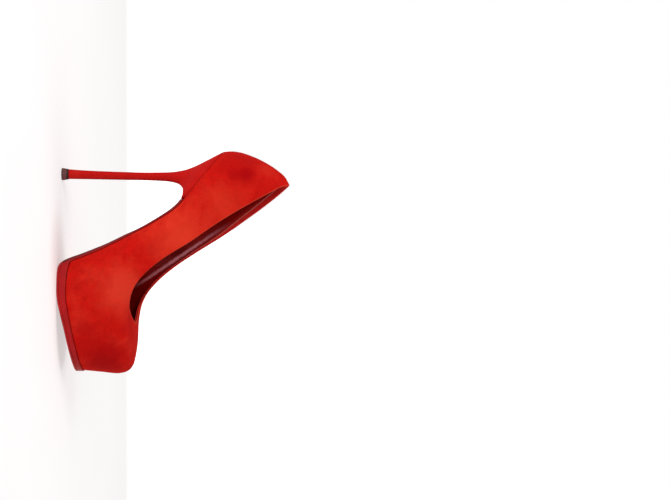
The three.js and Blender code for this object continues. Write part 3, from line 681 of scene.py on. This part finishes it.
# A closed ring of the heel at a section, moved inward by inset. At the breast its lip lifts by the same.
def heelRing(row, around, inset, drop=0.0):
    backX, backZ, frontX, frontZ, width = (line(row) for line in heelLines)
    side = np.where(around < 0.5, -1, 1)
    along = shareAt(1 - np.abs(1 - 2 * around))
    cupped = smoothstep(row, heel["cupStart"], lastSection)
    power = mix(heel["stemPower"], heel["cupPower"], cupped)
    x = mix(backX + inset, frontX - inset, along)
    roundBack = np.where(along < 0.5, endRound(along), 1)
    stemSide = (width / 2 - inset) * roundBack
    seat = np.maximum((x - reach(0, 0)) / (reach(1, 0) - reach(0, 0)), 0)
    cupSide = np.where(side < 0, halfWidths[-1]["sole"](seat), halfWidths[1]["sole"](seat)) - inset
    corner = np.maximum(1 - along ** power, 0) ** (1 / power)
    y = np.maximum(mix(stemSide, cupSide, cupped ** heel["widthPower"]), 0) * corner
    rim = featherLine(x) - shoe["seamGap"]
    lip = inset * smoothstep(row, heel["lipStart"], heel["lipFull"]) * smoothstep(along, *heel["lipAlong"])
    level = mix(backZ, frontZ, along) + lip
    z = np.minimum(mix(level, rim, cupped ** heel["rimPower"]), rim - drop)
    return np.stack([x, side * y, z], -1)


def ringPiece(name, rings, slot, replaced):
    points = np.stack(rings, 1)
    points[-1] = points[0]
    meshPiece(name, points, slot, replaced)


def heelPieces():
    around = np.linspace(0, 1, heel["around"] + 1)
    outerRows = np.linspace(0, lastSection, heel["rows"])
    innerRows = np.linspace(lastSection, 0, heel["innerRows"])
    cover = [heelRing(row, around, 0) for row in outerRows]
    cover += [heelRing(row, around, heel["coverWall"]) for row in innerRows]
    ringPiece("heelCover", [*cover, cover[0]], "heel_suede", "heel_cover")
    coreRows = np.linspace(heel["coreStart"], lastSection, heel["coreRows"])
    core = [heelRing(row, around, heel["coreInset"], heel["coreDrop"]) for row in coreRows]
    core.append(heelRing(lastSection, around, heel["seatInset"]) + np.array([0, 0, heel["seatRise"]]))
    ringPiece("heelCore", core, "heel_plastic", "heel_core")


heelPieces()

# a wide, hard layer on the floor, and a thinner one over it
tip = {
    "length": 11.3, "width": 10.6, "flare": 0.9, "around": 96, "jointHeight": 4.7, "cornerPower": 4,
}


def tipRing(around, z, out):
    side = np.where(around < 0.5, -1, 1)
    along = shareAt(1 - np.abs(1 - 2 * around))
    depth = tip["length"] - 2 * tip["flare"] + 2 * out
    width = tip["width"] - 2 * tip["flare"] + 2 * out
    corner = np.maximum(1 - along ** tip["cornerPower"], 0) ** (1 / tip["cornerPower"])
    y = width / 2 * np.where(along < 0.5, endRound(along), 1) * corner
    x = heel["tipAxis"] + depth * (along - 0.5)
    return np.stack([x, side * y, np.full(around.shape, float(z))], -1)


def tipPiece():
    around = np.linspace(0, 1, tip["around"] + 1)
    joint, flare = tip["jointHeight"], tip["flare"]
    # height, and how far the side stands out there
    profile = [
        (0.02, flare * 0.45), (0.1, flare * 0.72), (0.35, flare * 0.95), (0.9, flare),
        (2.0, flare * 0.86), (joint - 1.2, flare * 0.5), (joint - 0.25, flare * 0.34),
        (joint - 0.1, flare * 0.18), (joint + 0.1, flare * 0.18), (joint + 0.25, flare * 0.3),
        (5.8, flare * 0.08), (6.2, -0.05), (heel["tipHeight"], -0.25),
    ]
    ringPiece("topPiece", [tipRing(around, z, out) for z, out in profile], "tip_rubber", "top_piece")


tipPiece()
print("pieces made")


# Helpers for shader nodes. An input is either another node's output or a value.
def addNode(tree, kind, inputs=None, **settings):
    made = tree.nodes.new(kind)
    for key, value in settings.items():
        setattr(made, key, value)
    for name, value in (inputs or {}).items():
        if isinstance(value, bpy.types.NodeSocket):
            tree.links.new(value, made.inputs[name])
        else:
            made.inputs[name].default_value = value
    return made


def colour(text):
    def linear(part):
        value = int(part, 16) / 255
        return value / 12.92 if value <= 0.04045 else ((value + 0.055) / 1.055) ** 2.4

    return (linear(text[0:2]), linear(text[2:4]), linear(text[4:6]), 1.0)


def newGroup(name, inputs, outputs):
    group = bpy.data.node_groups.new(name, "ShaderNodeTree")
    for socketName, kind, value in inputs:
        socket = group.interface.new_socket(name=socketName, in_out="INPUT", socket_type=kind)
        if value is not None:
            socket.default_value = value
    for socketName, kind in outputs:
        group.interface.new_socket(name=socketName, in_out="OUTPUT", socket_type=kind)
    start, end = group.nodes.new("NodeGroupInput"), group.nodes.new("NodeGroupOutput")
    return group, start.outputs, end


def mixColour(tree, factor, a, b, blend="MIX"):
    inputs = {0: factor, 6: a, 7: b}
    return addNode(tree, "ShaderNodeMix", inputs, data_type="RGBA", blend_type=blend).outputs[2]


def maths(tree, operation, a, b=0.5):
    return addNode(tree, "ShaderNodeMath", {0: a, 1: b}, operation=operation).outputs[0]


def noise(tree, vector, scale, detail=3.0, roughness=0.55, distortion=0.0):
    return addNode(tree, "ShaderNodeTexNoise", {
        "Vector": vector, "Scale": scale, "Detail": detail, "Roughness": roughness,
        "Distortion": distortion}).outputs["Fac"]


# a smooth step of value from stops[0:2] to stops[2:4]
def ramp(tree, value, stops):
    low, high, outLow, outHigh = stops
    return addNode(tree, "ShaderNodeMapRange", {
        "Value": value, "From Min": low, "From Max": high, "To Min": outLow, "To Max": outHigh,
    }, interpolation_type="SMOOTHSTEP").outputs["Result"]


def stretched(tree, vector, scale):
    return addNode(tree, "ShaderNodeMapping", {"Vector": vector, "Scale": scale}).outputs[0]


def partOf(tree, vector, axis):
    return addNode(tree, "ShaderNodeSeparateXYZ", {"Vector": vector}).outputs[axis]


# how far along its section a place lies
def sectionOf(tree):
    return partOf(tree, addNode(tree, "ShaderNodeUVMap", uv_map="fit").outputs[0], "Y")


def distanceFrom(tree, vector, centre):
    inputs = {0: vector, 1: centre}
    return addNode(tree, "ShaderNodeVectorMath", inputs, operation="DISTANCE").outputs["Value"]


# Brushed nap: wide light and dark patches, a fine mottle and short fibres.
def makeNap():
    group, given, end = newGroup(
        "suedeNap",
        [("Vector", "NodeSocketVector", None), ("Base", "NodeSocketColor", None),
         ("Light", "NodeSocketColor", None), ("Dark", "NodeSocketColor", None),
         ("Patch Scale", "NodeSocketFloat", 30.0), ("Nap Scale", "NodeSocketFloat", 900.0),
         ("Mottle", "NodeSocketFloat", 0.5)],
        [("Color", "NodeSocketColor"), ("Height", "NodeSocketFloat")])
    patches = noise(group, given["Vector"], given["Patch Scale"], 3.0, 0.5, 0.6)
    moved = addNode(group, "ShaderNodeMapping", {
        "Vector": given["Vector"], "Location": (0.31, 0.17, 0.07)}).outputs[0]
    darkPatches = noise(group, moved, given["Patch Scale"], 2.0, 0.45, 0.9)
    lightMask = ramp(group, patches, (0.5, 0.8, 0, 0.8))
    darkMask = ramp(group, darkPatches, (0.52, 0.8, 0, 0.6))
    broad = mixColour(group, lightMask, given["Base"], given["Light"])
    broad = mixColour(group, darkMask, broad, given["Dark"])
    middleScale = maths(group, "MULTIPLY", given["Patch Scale"], 5.5)
    mottle = noise(group, given["Vector"], middleScale, 5.0, 0.65, 0.3)
    strokes = stretched(group, given["Vector"], (1.0, 1.0, 0.32))
    fibre = noise(group, strokes, given["Nap Scale"], 4.0, 0.6, 0.4)
    fineScale = maths(group, "MULTIPLY", given["Nap Scale"], 2.6)
    fine = noise(group, given["Vector"], fineScale, 3.0, 0.6)
    spread = maths(group, "MULTIPLY", maths(group, "SUBTRACT", mottle, 0.5), given["Mottle"])
    grain = maths(group, "MULTIPLY", maths(group, "SUBTRACT", fibre, 0.5), 0.55)
    tone = maths(group, "ADD", maths(group, "ADD", spread, grain), 1.0)
    shade = addNode(group, "ShaderNodeCombineColor", {"Red": tone, "Green": tone, "Blue": tone}).outputs[0]
    tinted = mixColour(group, 1.0, broad, shade, "MULTIPLY")
    group.links.new(tinted, end.inputs["Color"])
    long = maths(group, "MULTIPLY", fibre, 0.7)
    height = maths(group, "ADD", long, maths(group, "MULTIPLY", fine, 0.3))
    group.links.new(height, end.inputs["Height"])
    return group


# Small creased cells of smooth leather, with a slow change of tone.
def makeGrain():
    group, given, end = newGroup(
        "leatherGrain",
        [("Vector", "NodeSocketVector", None), ("Base", "NodeSocketColor", None),
         ("Deep", "NodeSocketColor", None), ("Cell Scale", "NodeSocketFloat", 900.0),
         ("Tone Scale", "NodeSocketFloat", 40.0)],
        [("Color", "NodeSocketColor"), ("Height", "NodeSocketFloat"), ("Wear", "NodeSocketFloat")])
    wobble = addNode(group, "ShaderNodeTexNoise", {
        "Vector": given["Vector"], "Scale": 300.0, "Detail": 2.0}).outputs["Color"]
    small = addNode(group, "ShaderNodeVectorMath", {0: wobble, "Scale": 0.0012}, operation="SCALE").outputs[0]
    bent = addNode(group, "ShaderNodeVectorMath", {0: given["Vector"], 1: small}, operation="ADD").outputs[0]
    cells = addNode(group, "ShaderNodeTexVoronoi", {
        "Vector": bent, "Scale": given["Cell Scale"]}, feature="DISTANCE_TO_EDGE")
    crease = ramp(group, cells.outputs["Distance"], (0.0, 0.16, 0, 1))
    tone = noise(group, given["Vector"], given["Tone Scale"], 4.0, 0.6, 0.4)
    mask = ramp(group, tone, (0.35, 0.7, 0, 1))
    body = mixColour(group, mask, given["Base"], given["Deep"])
    faint = maths(group, "MULTIPLY", maths(group, "SUBTRACT", 1.0, crease), 0.25)
    creased = mixColour(group, faint, body, given["Deep"])
    pores = noise(group, given["Vector"], maths(group, "MULTIPLY", given["Cell Scale"], 2.0), 2.0)
    deep = maths(group, "MULTIPLY", crease, 0.7)
    height = maths(group, "ADD", deep, maths(group, "MULTIPLY", pores, 0.3))
    group.links.new(creased, end.inputs["Color"])
    group.links.new(height, end.inputs["Height"])
    group.links.new(mask, end.inputs["Wear"])
    return group


# Loose fibres or flecks pressed into a sheet.
def makeFleck():
    group, given, end = newGroup(
        "pressedFlecks",
        [("Vector", "NodeSocketVector", None), ("Base", "NodeSocketColor", None),
         ("Fleck", "NodeSocketColor", None), ("Scale", "NodeSocketFloat", 600.0),
         ("Stretch", "NodeSocketVector", (1.0, 1.0, 1.0))],
        [("Color", "NodeSocketColor"), ("Height", "NodeSocketFloat")])
    long = addNode(group, "ShaderNodeVectorMath", {
        0: given["Vector"], 1: given["Stretch"]}, operation="MULTIPLY").outputs[0]
    cells = addNode(group, "ShaderNodeTexVoronoi", {"Vector": long, "Scale": given["Scale"]})
    split = addNode(group, "ShaderNodeSeparateColor", {"Color": cells.outputs["Color"]})
    soft = noise(group, long, given["Scale"], 4.0, 0.7)
    mask = ramp(group, maths(group, "MULTIPLY", split.outputs[0], soft), (0.2, 0.5, 0, 1))
    group.links.new(mixColour(group, mask, given["Base"], given["Fleck"]), end.inputs["Color"])
    group.links.new(maths(group, "ADD", mask, soft), end.inputs["Height"])
    return group


napGroup, grainGroup, fleckGroup = makeNap(), makeGrain(), makeFleck()


def newMaterial(name, **constants):
    material = bpy.data.materials.new(name)
    material.use_nodes = True
    tree = material.node_tree
    tree.nodes.clear()
    shader = tree.nodes.new("ShaderNodeBsdfPrincipled")
    output = tree.nodes.new("ShaderNodeOutputMaterial")
    tree.links.new(shader.outputs[0], output.inputs["Surface"])
    for socketName, value in constants.items():
        shader.inputs[socketName].default_value = value
    place = tree.nodes.new("ShaderNodeTexCoord").outputs["Object"]
    return material, tree, shader, place


def addBump(tree, shader, height, distance):
    bump = addNode(tree, "ShaderNodeBump", {"Height": height, "Distance": distance, "Strength": 1.0})
    tree.links.new(bump.outputs[0], shader.inputs["Normal"])


def useGroup(tree, group, place, **values):
    made = tree.nodes.new("ShaderNodeGroup")
    made.node_tree = group
    tree.links.new(place, made.inputs["Vector"])
    for name, value in values.items():
        made.inputs[name.replace("_", " ")].default_value = value
    return made


# Spots are painted light and shade, lighter or darker patches over the nap: centre, radius, strength, colour.
# The rim is a
# painted highlight along an edge: from, to, strength, colour.
def suedeMaterial(name, base, light, dark, patchScale, mottle, bump, paintedLightSpots=(), rim=None):
    settings = {"sheen": 0.06, "tint": "FF9080", "napScale": 1100.0, "spotFade": (0.6, 1.6), "rimFade": 0.008}
    material, tree, shader, place = newMaterial(name, **{
        "Sheen Weight": settings["sheen"], "Sheen Roughness": 0.45, "Sheen Tint": colour(settings["tint"]),
        "Specular IOR Level": 0.03})
    nap = useGroup(tree, napGroup, place, Base=colour(base), Light=colour(light), Dark=colour(dark),
                   Patch_Scale=patchScale, Nap_Scale=settings["napScale"], Mottle=mottle)
    tone = nap.outputs["Color"]
    ragged = noise(tree, place, 55.0, 4.0, 0.6, 0.8)
    near, far = settings["spotFade"]
    # each spot paints light or shade over the nap
    for centre, radius, strength, spotColour in paintedLightSpots:
        away = distanceFrom(tree, place, centre)
        edge = maths(tree, "ADD", away, maths(tree, "MULTIPLY", ragged, radius))
        mask = ramp(tree, edge, (radius * near, radius * far, strength, 0))
        tone = mixColour(tree, mask, tone, colour(spotColour))
    # the rim paints a highlight along an edge
    if rim:
        section = sectionOf(tree)
        low, high, strength, rimHighlightColour = rim
        starts = ramp(tree, section, (low, low + settings["rimFade"], 0, strength))
        ends = ramp(tree, section, (high, high + settings["rimFade"], 1, 0))
        tone = mixColour(tree, maths(tree, "MULTIPLY", starts, ends), tone, colour(rimHighlightColour))
    tree.links.new(tone, shader.inputs["Base Color"])
    rough = ramp(tree, nap.outputs["Height"], (0.3, 0.7, 0.98, 0.84))
    tree.links.new(rough, shader.inputs["Roughness"])
    addBump(tree, shader, nap.outputs["Height"], bump)
    return material


# a painted reflection up the inner side: a lighter line where Z + slope * X is about the level
def addPaintedReflection(tree, place, tone):
    streak = {
        "slope": 1.49, "level": 0.0992, "half": 0.0042, "rise": (-0.04, -0.01), "fall": (0.014, 0.026),
        "side": (0.0, 0.01), "strength": 0.85, "colour": "F0929C",
    }
    x = partOf(tree, place, "X")
    line = maths(tree, "ADD", partOf(tree, place, "Z"), maths(tree, "MULTIPLY", x, streak["slope"]))
    ragged = maths(tree, "SUBTRACT", noise(tree, place, 300.0, 4.0, 0.6, 0.5), 0.5)
    away = maths(tree, "ABSOLUTE", maths(tree, "SUBTRACT", line, streak["level"]))
    away = maths(tree, "ADD", away, maths(tree, "MULTIPLY", ragged, streak["half"]))
    mask = ramp(tree, away, (0, streak["half"], streak["strength"], 0))
    mask = maths(tree, "MULTIPLY", mask, ramp(tree, x, (*streak["rise"], 0, 1)))
    mask = maths(tree, "MULTIPLY", mask, ramp(tree, x, (*streak["fall"], 1, 0)))
    mask = maths(tree, "MULTIPLY", mask, ramp(tree, partOf(tree, place, "Y"), (*streak["side"], 0, 1)))
    return mixColour(tree, mask, tone, colour(streak["colour"]))


def leatherMaterial(name, base, deep, rough, cellScale, toneScale, bump, specular, paintedLight=None):
    material, tree, shader, place = newMaterial(name, **{"Specular IOR Level": specular})
    grain = useGroup(tree, grainGroup, place, Base=colour(base), Deep=colour(deep), Cell_Scale=cellScale,
                     Tone_Scale=toneScale)
    tone = grain.outputs["Color"]
    # an optional painted reflection laid over the grain
    if paintedLight:
        tone = paintedLight(tree, place, tone)
    tree.links.new(tone, shader.inputs["Base Color"])
    tree.links.new(ramp(tree, grain.outputs["Wear"], (0, 1, *rough)), shader.inputs["Roughness"])
    addBump(tree, shader, grain.outputs["Height"], bump)
    return material


def fleckMaterial(name, base, fleck, scale, stretch=(1, 1, 1), rough=0.85, bump=0.0001):
    material, tree, shader, place = newMaterial(name, Roughness=rough)
    flecks = useGroup(tree, fleckGroup, place, Base=colour(base), Fleck=colour(fleck), Scale=scale,
                      Stretch=stretch)
    tree.links.new(flecks.outputs["Color"], shader.inputs["Base Color"])
    addBump(tree, shader, flecks.outputs["Height"], bump)
    return material


def metalMaterial(name, base, dark, stretch, rough):
    material, tree, shader, place = newMaterial(name, Metallic=1.0)
    lines = noise(tree, stretched(tree, place, stretch), 400.0, 4.0, 0.6)
    stain = ramp(tree, noise(tree, place, 120.0, 3.0), (0.4, 0.7, 0, 1))
    tree.links.new(mixColour(tree, stain, colour(base), colour(dark)), shader.inputs["Base Color"])
    tree.links.new(ramp(tree, lines, (0.3, 0.7, *rough)), shader.inputs["Roughness"])
    addBump(tree, shader, lines, 0.00003)
    return material


def tipMaterial():
    settings = {
        "face": "703A35", "worn": "54302D", "dark": "2C1817", "joint": (0.0045, 0.0049),
        "foot": (0.0004, 0.0014),
    }
    material, tree, shader, place = newMaterial("tipRubber", **{"Specular IOR Level": 0.4})
    height = partOf(tree, place, "Z")
    upper = ramp(tree, height, (*settings["joint"], 0, 1))
    foot = ramp(tree, height, (*settings["foot"], 1, 0))
    scuff = noise(tree, place, 900.0, 4.0, 0.6, 0.5)
    worn = ramp(tree, scuff, (0.35, 0.7, 0, 1))
    face = mixColour(tree, worn, colour(settings["face"]), colour(settings["worn"]))
    dark = mixColour(tree, maths(tree, "MAXIMUM", upper, foot), face, colour(settings["dark"]))
    tree.links.new(dark, shader.inputs["Base Color"])
    tree.links.new(ramp(tree, scuff, (0.3, 0.7, 0.45, 0.7)), shader.inputs["Roughness"])
    addBump(tree, shader, scuff, 0.00008)
    return material


# pale plastic, inked at the rim under the shoe to match the upper
def plasticMaterial():
    settings = {"base": "E4DDCF", "shade": "D2C8B4", "ink": "5C1213", "inked": (0.82, 0.86)}
    material, tree, shader, place = newMaterial("heelPlastic")
    cloud = ramp(tree, noise(tree, place, 60.0, 3.0), (0.35, 0.7, 0, 1))
    speck = noise(tree, place, 1500.0, 2.0)
    body = mixColour(tree, cloud, colour(settings["base"]), colour(settings["shade"]))
    inked = ramp(tree, sectionOf(tree), (*settings["inked"], 0, 1))
    tree.links.new(mixColour(tree, inked, body, colour(settings["ink"])), shader.inputs["Base Color"])
    tree.links.new(ramp(tree, speck, (0.3, 0.7, 0.5, 0.62)), shader.inputs["Roughness"])
    addBump(tree, shader, speck, 0.00003)
    return material


# The outsole's edge is finished like the band; on the arch it carries painted shade, darkest on the bevels.
# Its underside is duller and scuffed.
def soleMaterial():
    settings = {
        "under": ("7A1614", "5E0F10"), "scuff": "9A3A30", "edge": ("C01418", "A80E12"),
        "arch": ("A01014", "6C0B0D"), "archEnd": (-0.001, 0.0014), "underEnd": (0.385, 0.405),
        "innerBevel": (0.4497, 0.4697), "outerBevel": (0.91, 0.93),
    }
    material, tree, shader, place = newMaterial("soleLeather", **{"Specular IOR Level": 0.2})
    base, deep = map(colour, settings["under"])
    grain = useGroup(tree, grainGroup, place, Base=base, Deep=deep, Cell_Scale=1400.0, Tone_Scale=30.0)
    section = sectionOf(tree)
    scuffs = noise(tree, stretched(tree, place, (0.25, 1.4, 0.6)), 500.0, 5.0, 0.65, 0.3)
    mask = ramp(tree, scuffs, (0.58, 0.72, 0, 0.35))
    under = mixColour(tree, mask, grain.outputs["Color"], colour(settings["scuff"]))
    edgeShare = ramp(tree, section, (*settings["underEnd"], 0, 1))
    edgeTone = ramp(tree, noise(tree, place, 28.0, 4.0, 0.6, 0.4), (0.35, 0.7, 0, 1))
    edge = mixColour(tree, edgeTone, *map(colour, settings["edge"]))
    # painted shade on the arch: the edge darker than the band, darkest on the bevels toward the underside
    shadedBevels = (ramp(tree, section, (*settings["innerBevel"], 1, 0)),
              ramp(tree, section, (*settings["outerBevel"], 0, 1)))
    archShadeTone = mixColour(tree, maths(tree, "MAXIMUM", *shadedBevels), *map(colour, settings["arch"]))
    arch = ramp(tree, partOf(tree, place, "X"), (*settings["archEnd"], 1, 0))
    edge = mixColour(tree, arch, edge, archShadeTone)
    tree.links.new(mixColour(tree, edgeShare, under, edge), shader.inputs["Base Color"])
    tree.links.new(ramp(tree, scuffs, (0.35, 0.7, 0.38, 0.62)), shader.inputs["Roughness"])
    addBump(tree, shader, grain.outputs["Height"], 0.00005)
    return material


finishes = {
    # suede: lighter spots are painted light on the quarter, waist and vamp side; darker spots are painted
    # shade at the toe, along the sole and at the back of the heel cup; the rim is a painted highlight along
    # the topline
    "suede": suedeMaterial(
        "suede", "CB160F", "DC3121", "B00609", 26, 0.55, 0.00022, rim=(0.712, 0.77, 0.5, "DE5038"), paintedLightSpots=[
            ((-0.022, -0.030, 0.112), 0.038, 0.7, "EC402A"), ((0.026, -0.040, 0.060), 0.032, 0.7, "E4402C"),
            ((-0.052, -0.030, 0.150), 0.030, 0.5, "DC3422"), ((-0.098, -0.016, 0.165), 0.034, 0.6, "B80D0C"),
            ((0.074, -0.036, 0.034), 0.046, 0.5, "B60F0C"),
            ((-0.082, -0.026, 0.172), 0.010, 0.75, "AA050C"), ((-0.080, -0.028, 0.160), 0.008, 0.6, "AE060D"),
            ((0.090, -0.026, 0.043), 0.024, 0.65, "A4060C"), ((0.060, -0.040, 0.026), 0.012, 0.45, "B00A0E"),
            ((0.022, -0.038, 0.020), 0.011, 0.4, "B00A0E"), ((0.094, 0.024, 0.045), 0.022, 0.5, "A8070C"),
        ]),
    # the facing's rim is a painted highlight along its lower border
    "suede_edge": suedeMaterial("suedeEdge", "DC2826", "E8382E", "C01A1C", 40, 0.3, 0.00015,
                                rim=(0.73, 0.83, 0.6, "E08880")),
    "heel_suede": suedeMaterial("heelSuede", "C21815", "CE2620", "A80A0E", 34, 0.35, 0.00018),
    # the lining carries a painted reflection up the inner side
    "lining": leatherMaterial(
        "liningLeather", "980E0A", "6E0807", (0.26, 0.36), 700, 30, 0.00004, 0.1, addPaintedReflection),
    "sock": leatherMaterial("sockLeather", "8A100E", "66080A", (0.32, 0.44), 800, 36, 0.00005, 0.14),
    "band_leather": leatherMaterial("bandLeather", "C01418", "A80E12", (0.36, 0.48), 1100, 28, 0.00003, 0.16),
    "sole_leather": soleMaterial(),
    "stiffener": fleckMaterial("stiffenerSheet", "D4C2A0", "B39C74", 900, (1, 1, 0.4)),
    "foam": fleckMaterial("foam", "E2D2AE", "C7B48A", 1600, rough=0.95, bump=0.0002),
    "board": fleckMaterial("fibreBoard", "AA8C5E", "7E6440", 700, (0.4, 1, 1)),
    "cork": fleckMaterial("cork", "BE9D6C", "7C5C36", 380, (1, 1, 1), 0.9, 0.0003),
    "steel": metalMaterial("steel", "B4B8BE", "8E9298", (0.2, 2, 2), (0.28, 0.45)),
    "rivet": metalMaterial("rivetBrass", "B89E5C", "8E7840", (1, 1, 1), (0.3, 0.45)),
    "heel_plastic": plasticMaterial(),
    "tip_rubber": tipMaterial(),
}
for node in nodes.values():
    slotName = node.material_slots[0].material.name.split(".")[0]
    node.material_slots[0].material = finishes[slotName]
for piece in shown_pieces():
    if "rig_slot" in piece:
        piece.data.materials.clear()
        piece.data.materials.append(finishes[piece["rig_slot"]])
print("materials set")


# floor, backdrop and light
def stageSheet(name, corners, material):
    form = bmesh.new()
    form.faces.new([form.verts.new(corner) for corner in corners])
    mesh = bpy.data.meshes.new(name)
    form.to_mesh(mesh)
    form.free()
    sheet = bpy.data.objects.new(name, mesh)
    sheet.data.materials.append(material)
    bpy.context.scene.collection.objects.link(sheet)


def floorMaterial():
    settings = {
        "near": "C4C3C3", "cloud": "C8C7C7", "glow": "C6C3C3", "strength": 1.0, "fade": (0.54, 0.68),
        "pool": (-0.004, -0.03, 0.0), "poolSize": (0.01, 0.06), "poolShare": 0.55, "shadowTint": "AE9493",
    }
    material, tree, shader, place = newMaterial("paleFloor", **{
        "Roughness": 0.6, "Specular IOR Level": 0.2, "Emission Strength": settings["strength"]})
    cloud = ramp(tree, noise(tree, place, 3.0, 2.0), (0.3, 0.7, 0, 1))
    tint = mixColour(tree, cloud, colour(settings["near"]), colour(settings["cloud"]))
    far = ramp(tree, partOf(tree, place, "Y"), (*settings["fade"], 0, 1))
    tree.links.new(mixColour(tree, far, tint, colour("FFFFFF")), shader.inputs["Base Color"])
    # a painted shadow under the ball of the shoe, tinted pink as a painted reflection of the red suede
    away = distanceFrom(tree, place, settings["pool"])
    pool = ramp(tree, away, (*settings["poolSize"], settings["poolShare"], 0))
    lit = mixColour(tree, pool, colour(settings["glow"]), colour(settings["shadowTint"]))
    glowing = mixColour(tree, far, lit, colour("FFFFFF"))
    tree.links.new(glowing, shader.inputs["Emission Color"])
    return material


stageSheet("floor", [(-4, -3, 0), (4, -3, 0), (4, 3, 0), (-4, 3, 0)], floorMaterial())

# The backdrop is white to look at, and lights the shoe less than it shows.
studio = {"ambient": 0.38, "backdrop": 1.0}
world = bpy.data.worlds.new("studio")
bpy.context.scene.world = world
world.use_nodes = True
sky = world.node_tree
seen = addNode(sky, "ShaderNodeLightPath").outputs["Is Camera Ray"]
glow = sky.nodes["Background"].inputs
glow["Color"].default_value = (1, 1, 1, 1)
sky.links.new(ramp(sky, seen, (0, 1, studio["ambient"], studio["backdrop"])), glow["Strength"])


def softLight(name, place, aim, size, power):
    data = bpy.data.lights.new(name, "AREA")
    data.shape = "RECTANGLE"
    data.size, data.size_y = size
    data.energy = power
    light = bpy.data.objects.new(name, data)
    light.location = place
    light.rotation_euler = (Vector(aim) - Vector(place)).to_track_quat("-Z", "Y").to_euler()
    bpy.context.scene.collection.objects.link(light)


softLight("keyLight", (-0.9, -1.25, 1.0), (-0.03, 0, 0.11), (0.9, 0.9), 12)
softLight("topLight", (0.2, 0.1, 1.5), (0, 0, 0.1), (1.2, 1.2), 6)
bpy.context.scene.view_settings.view_transform = "Standard"
print("stage set")
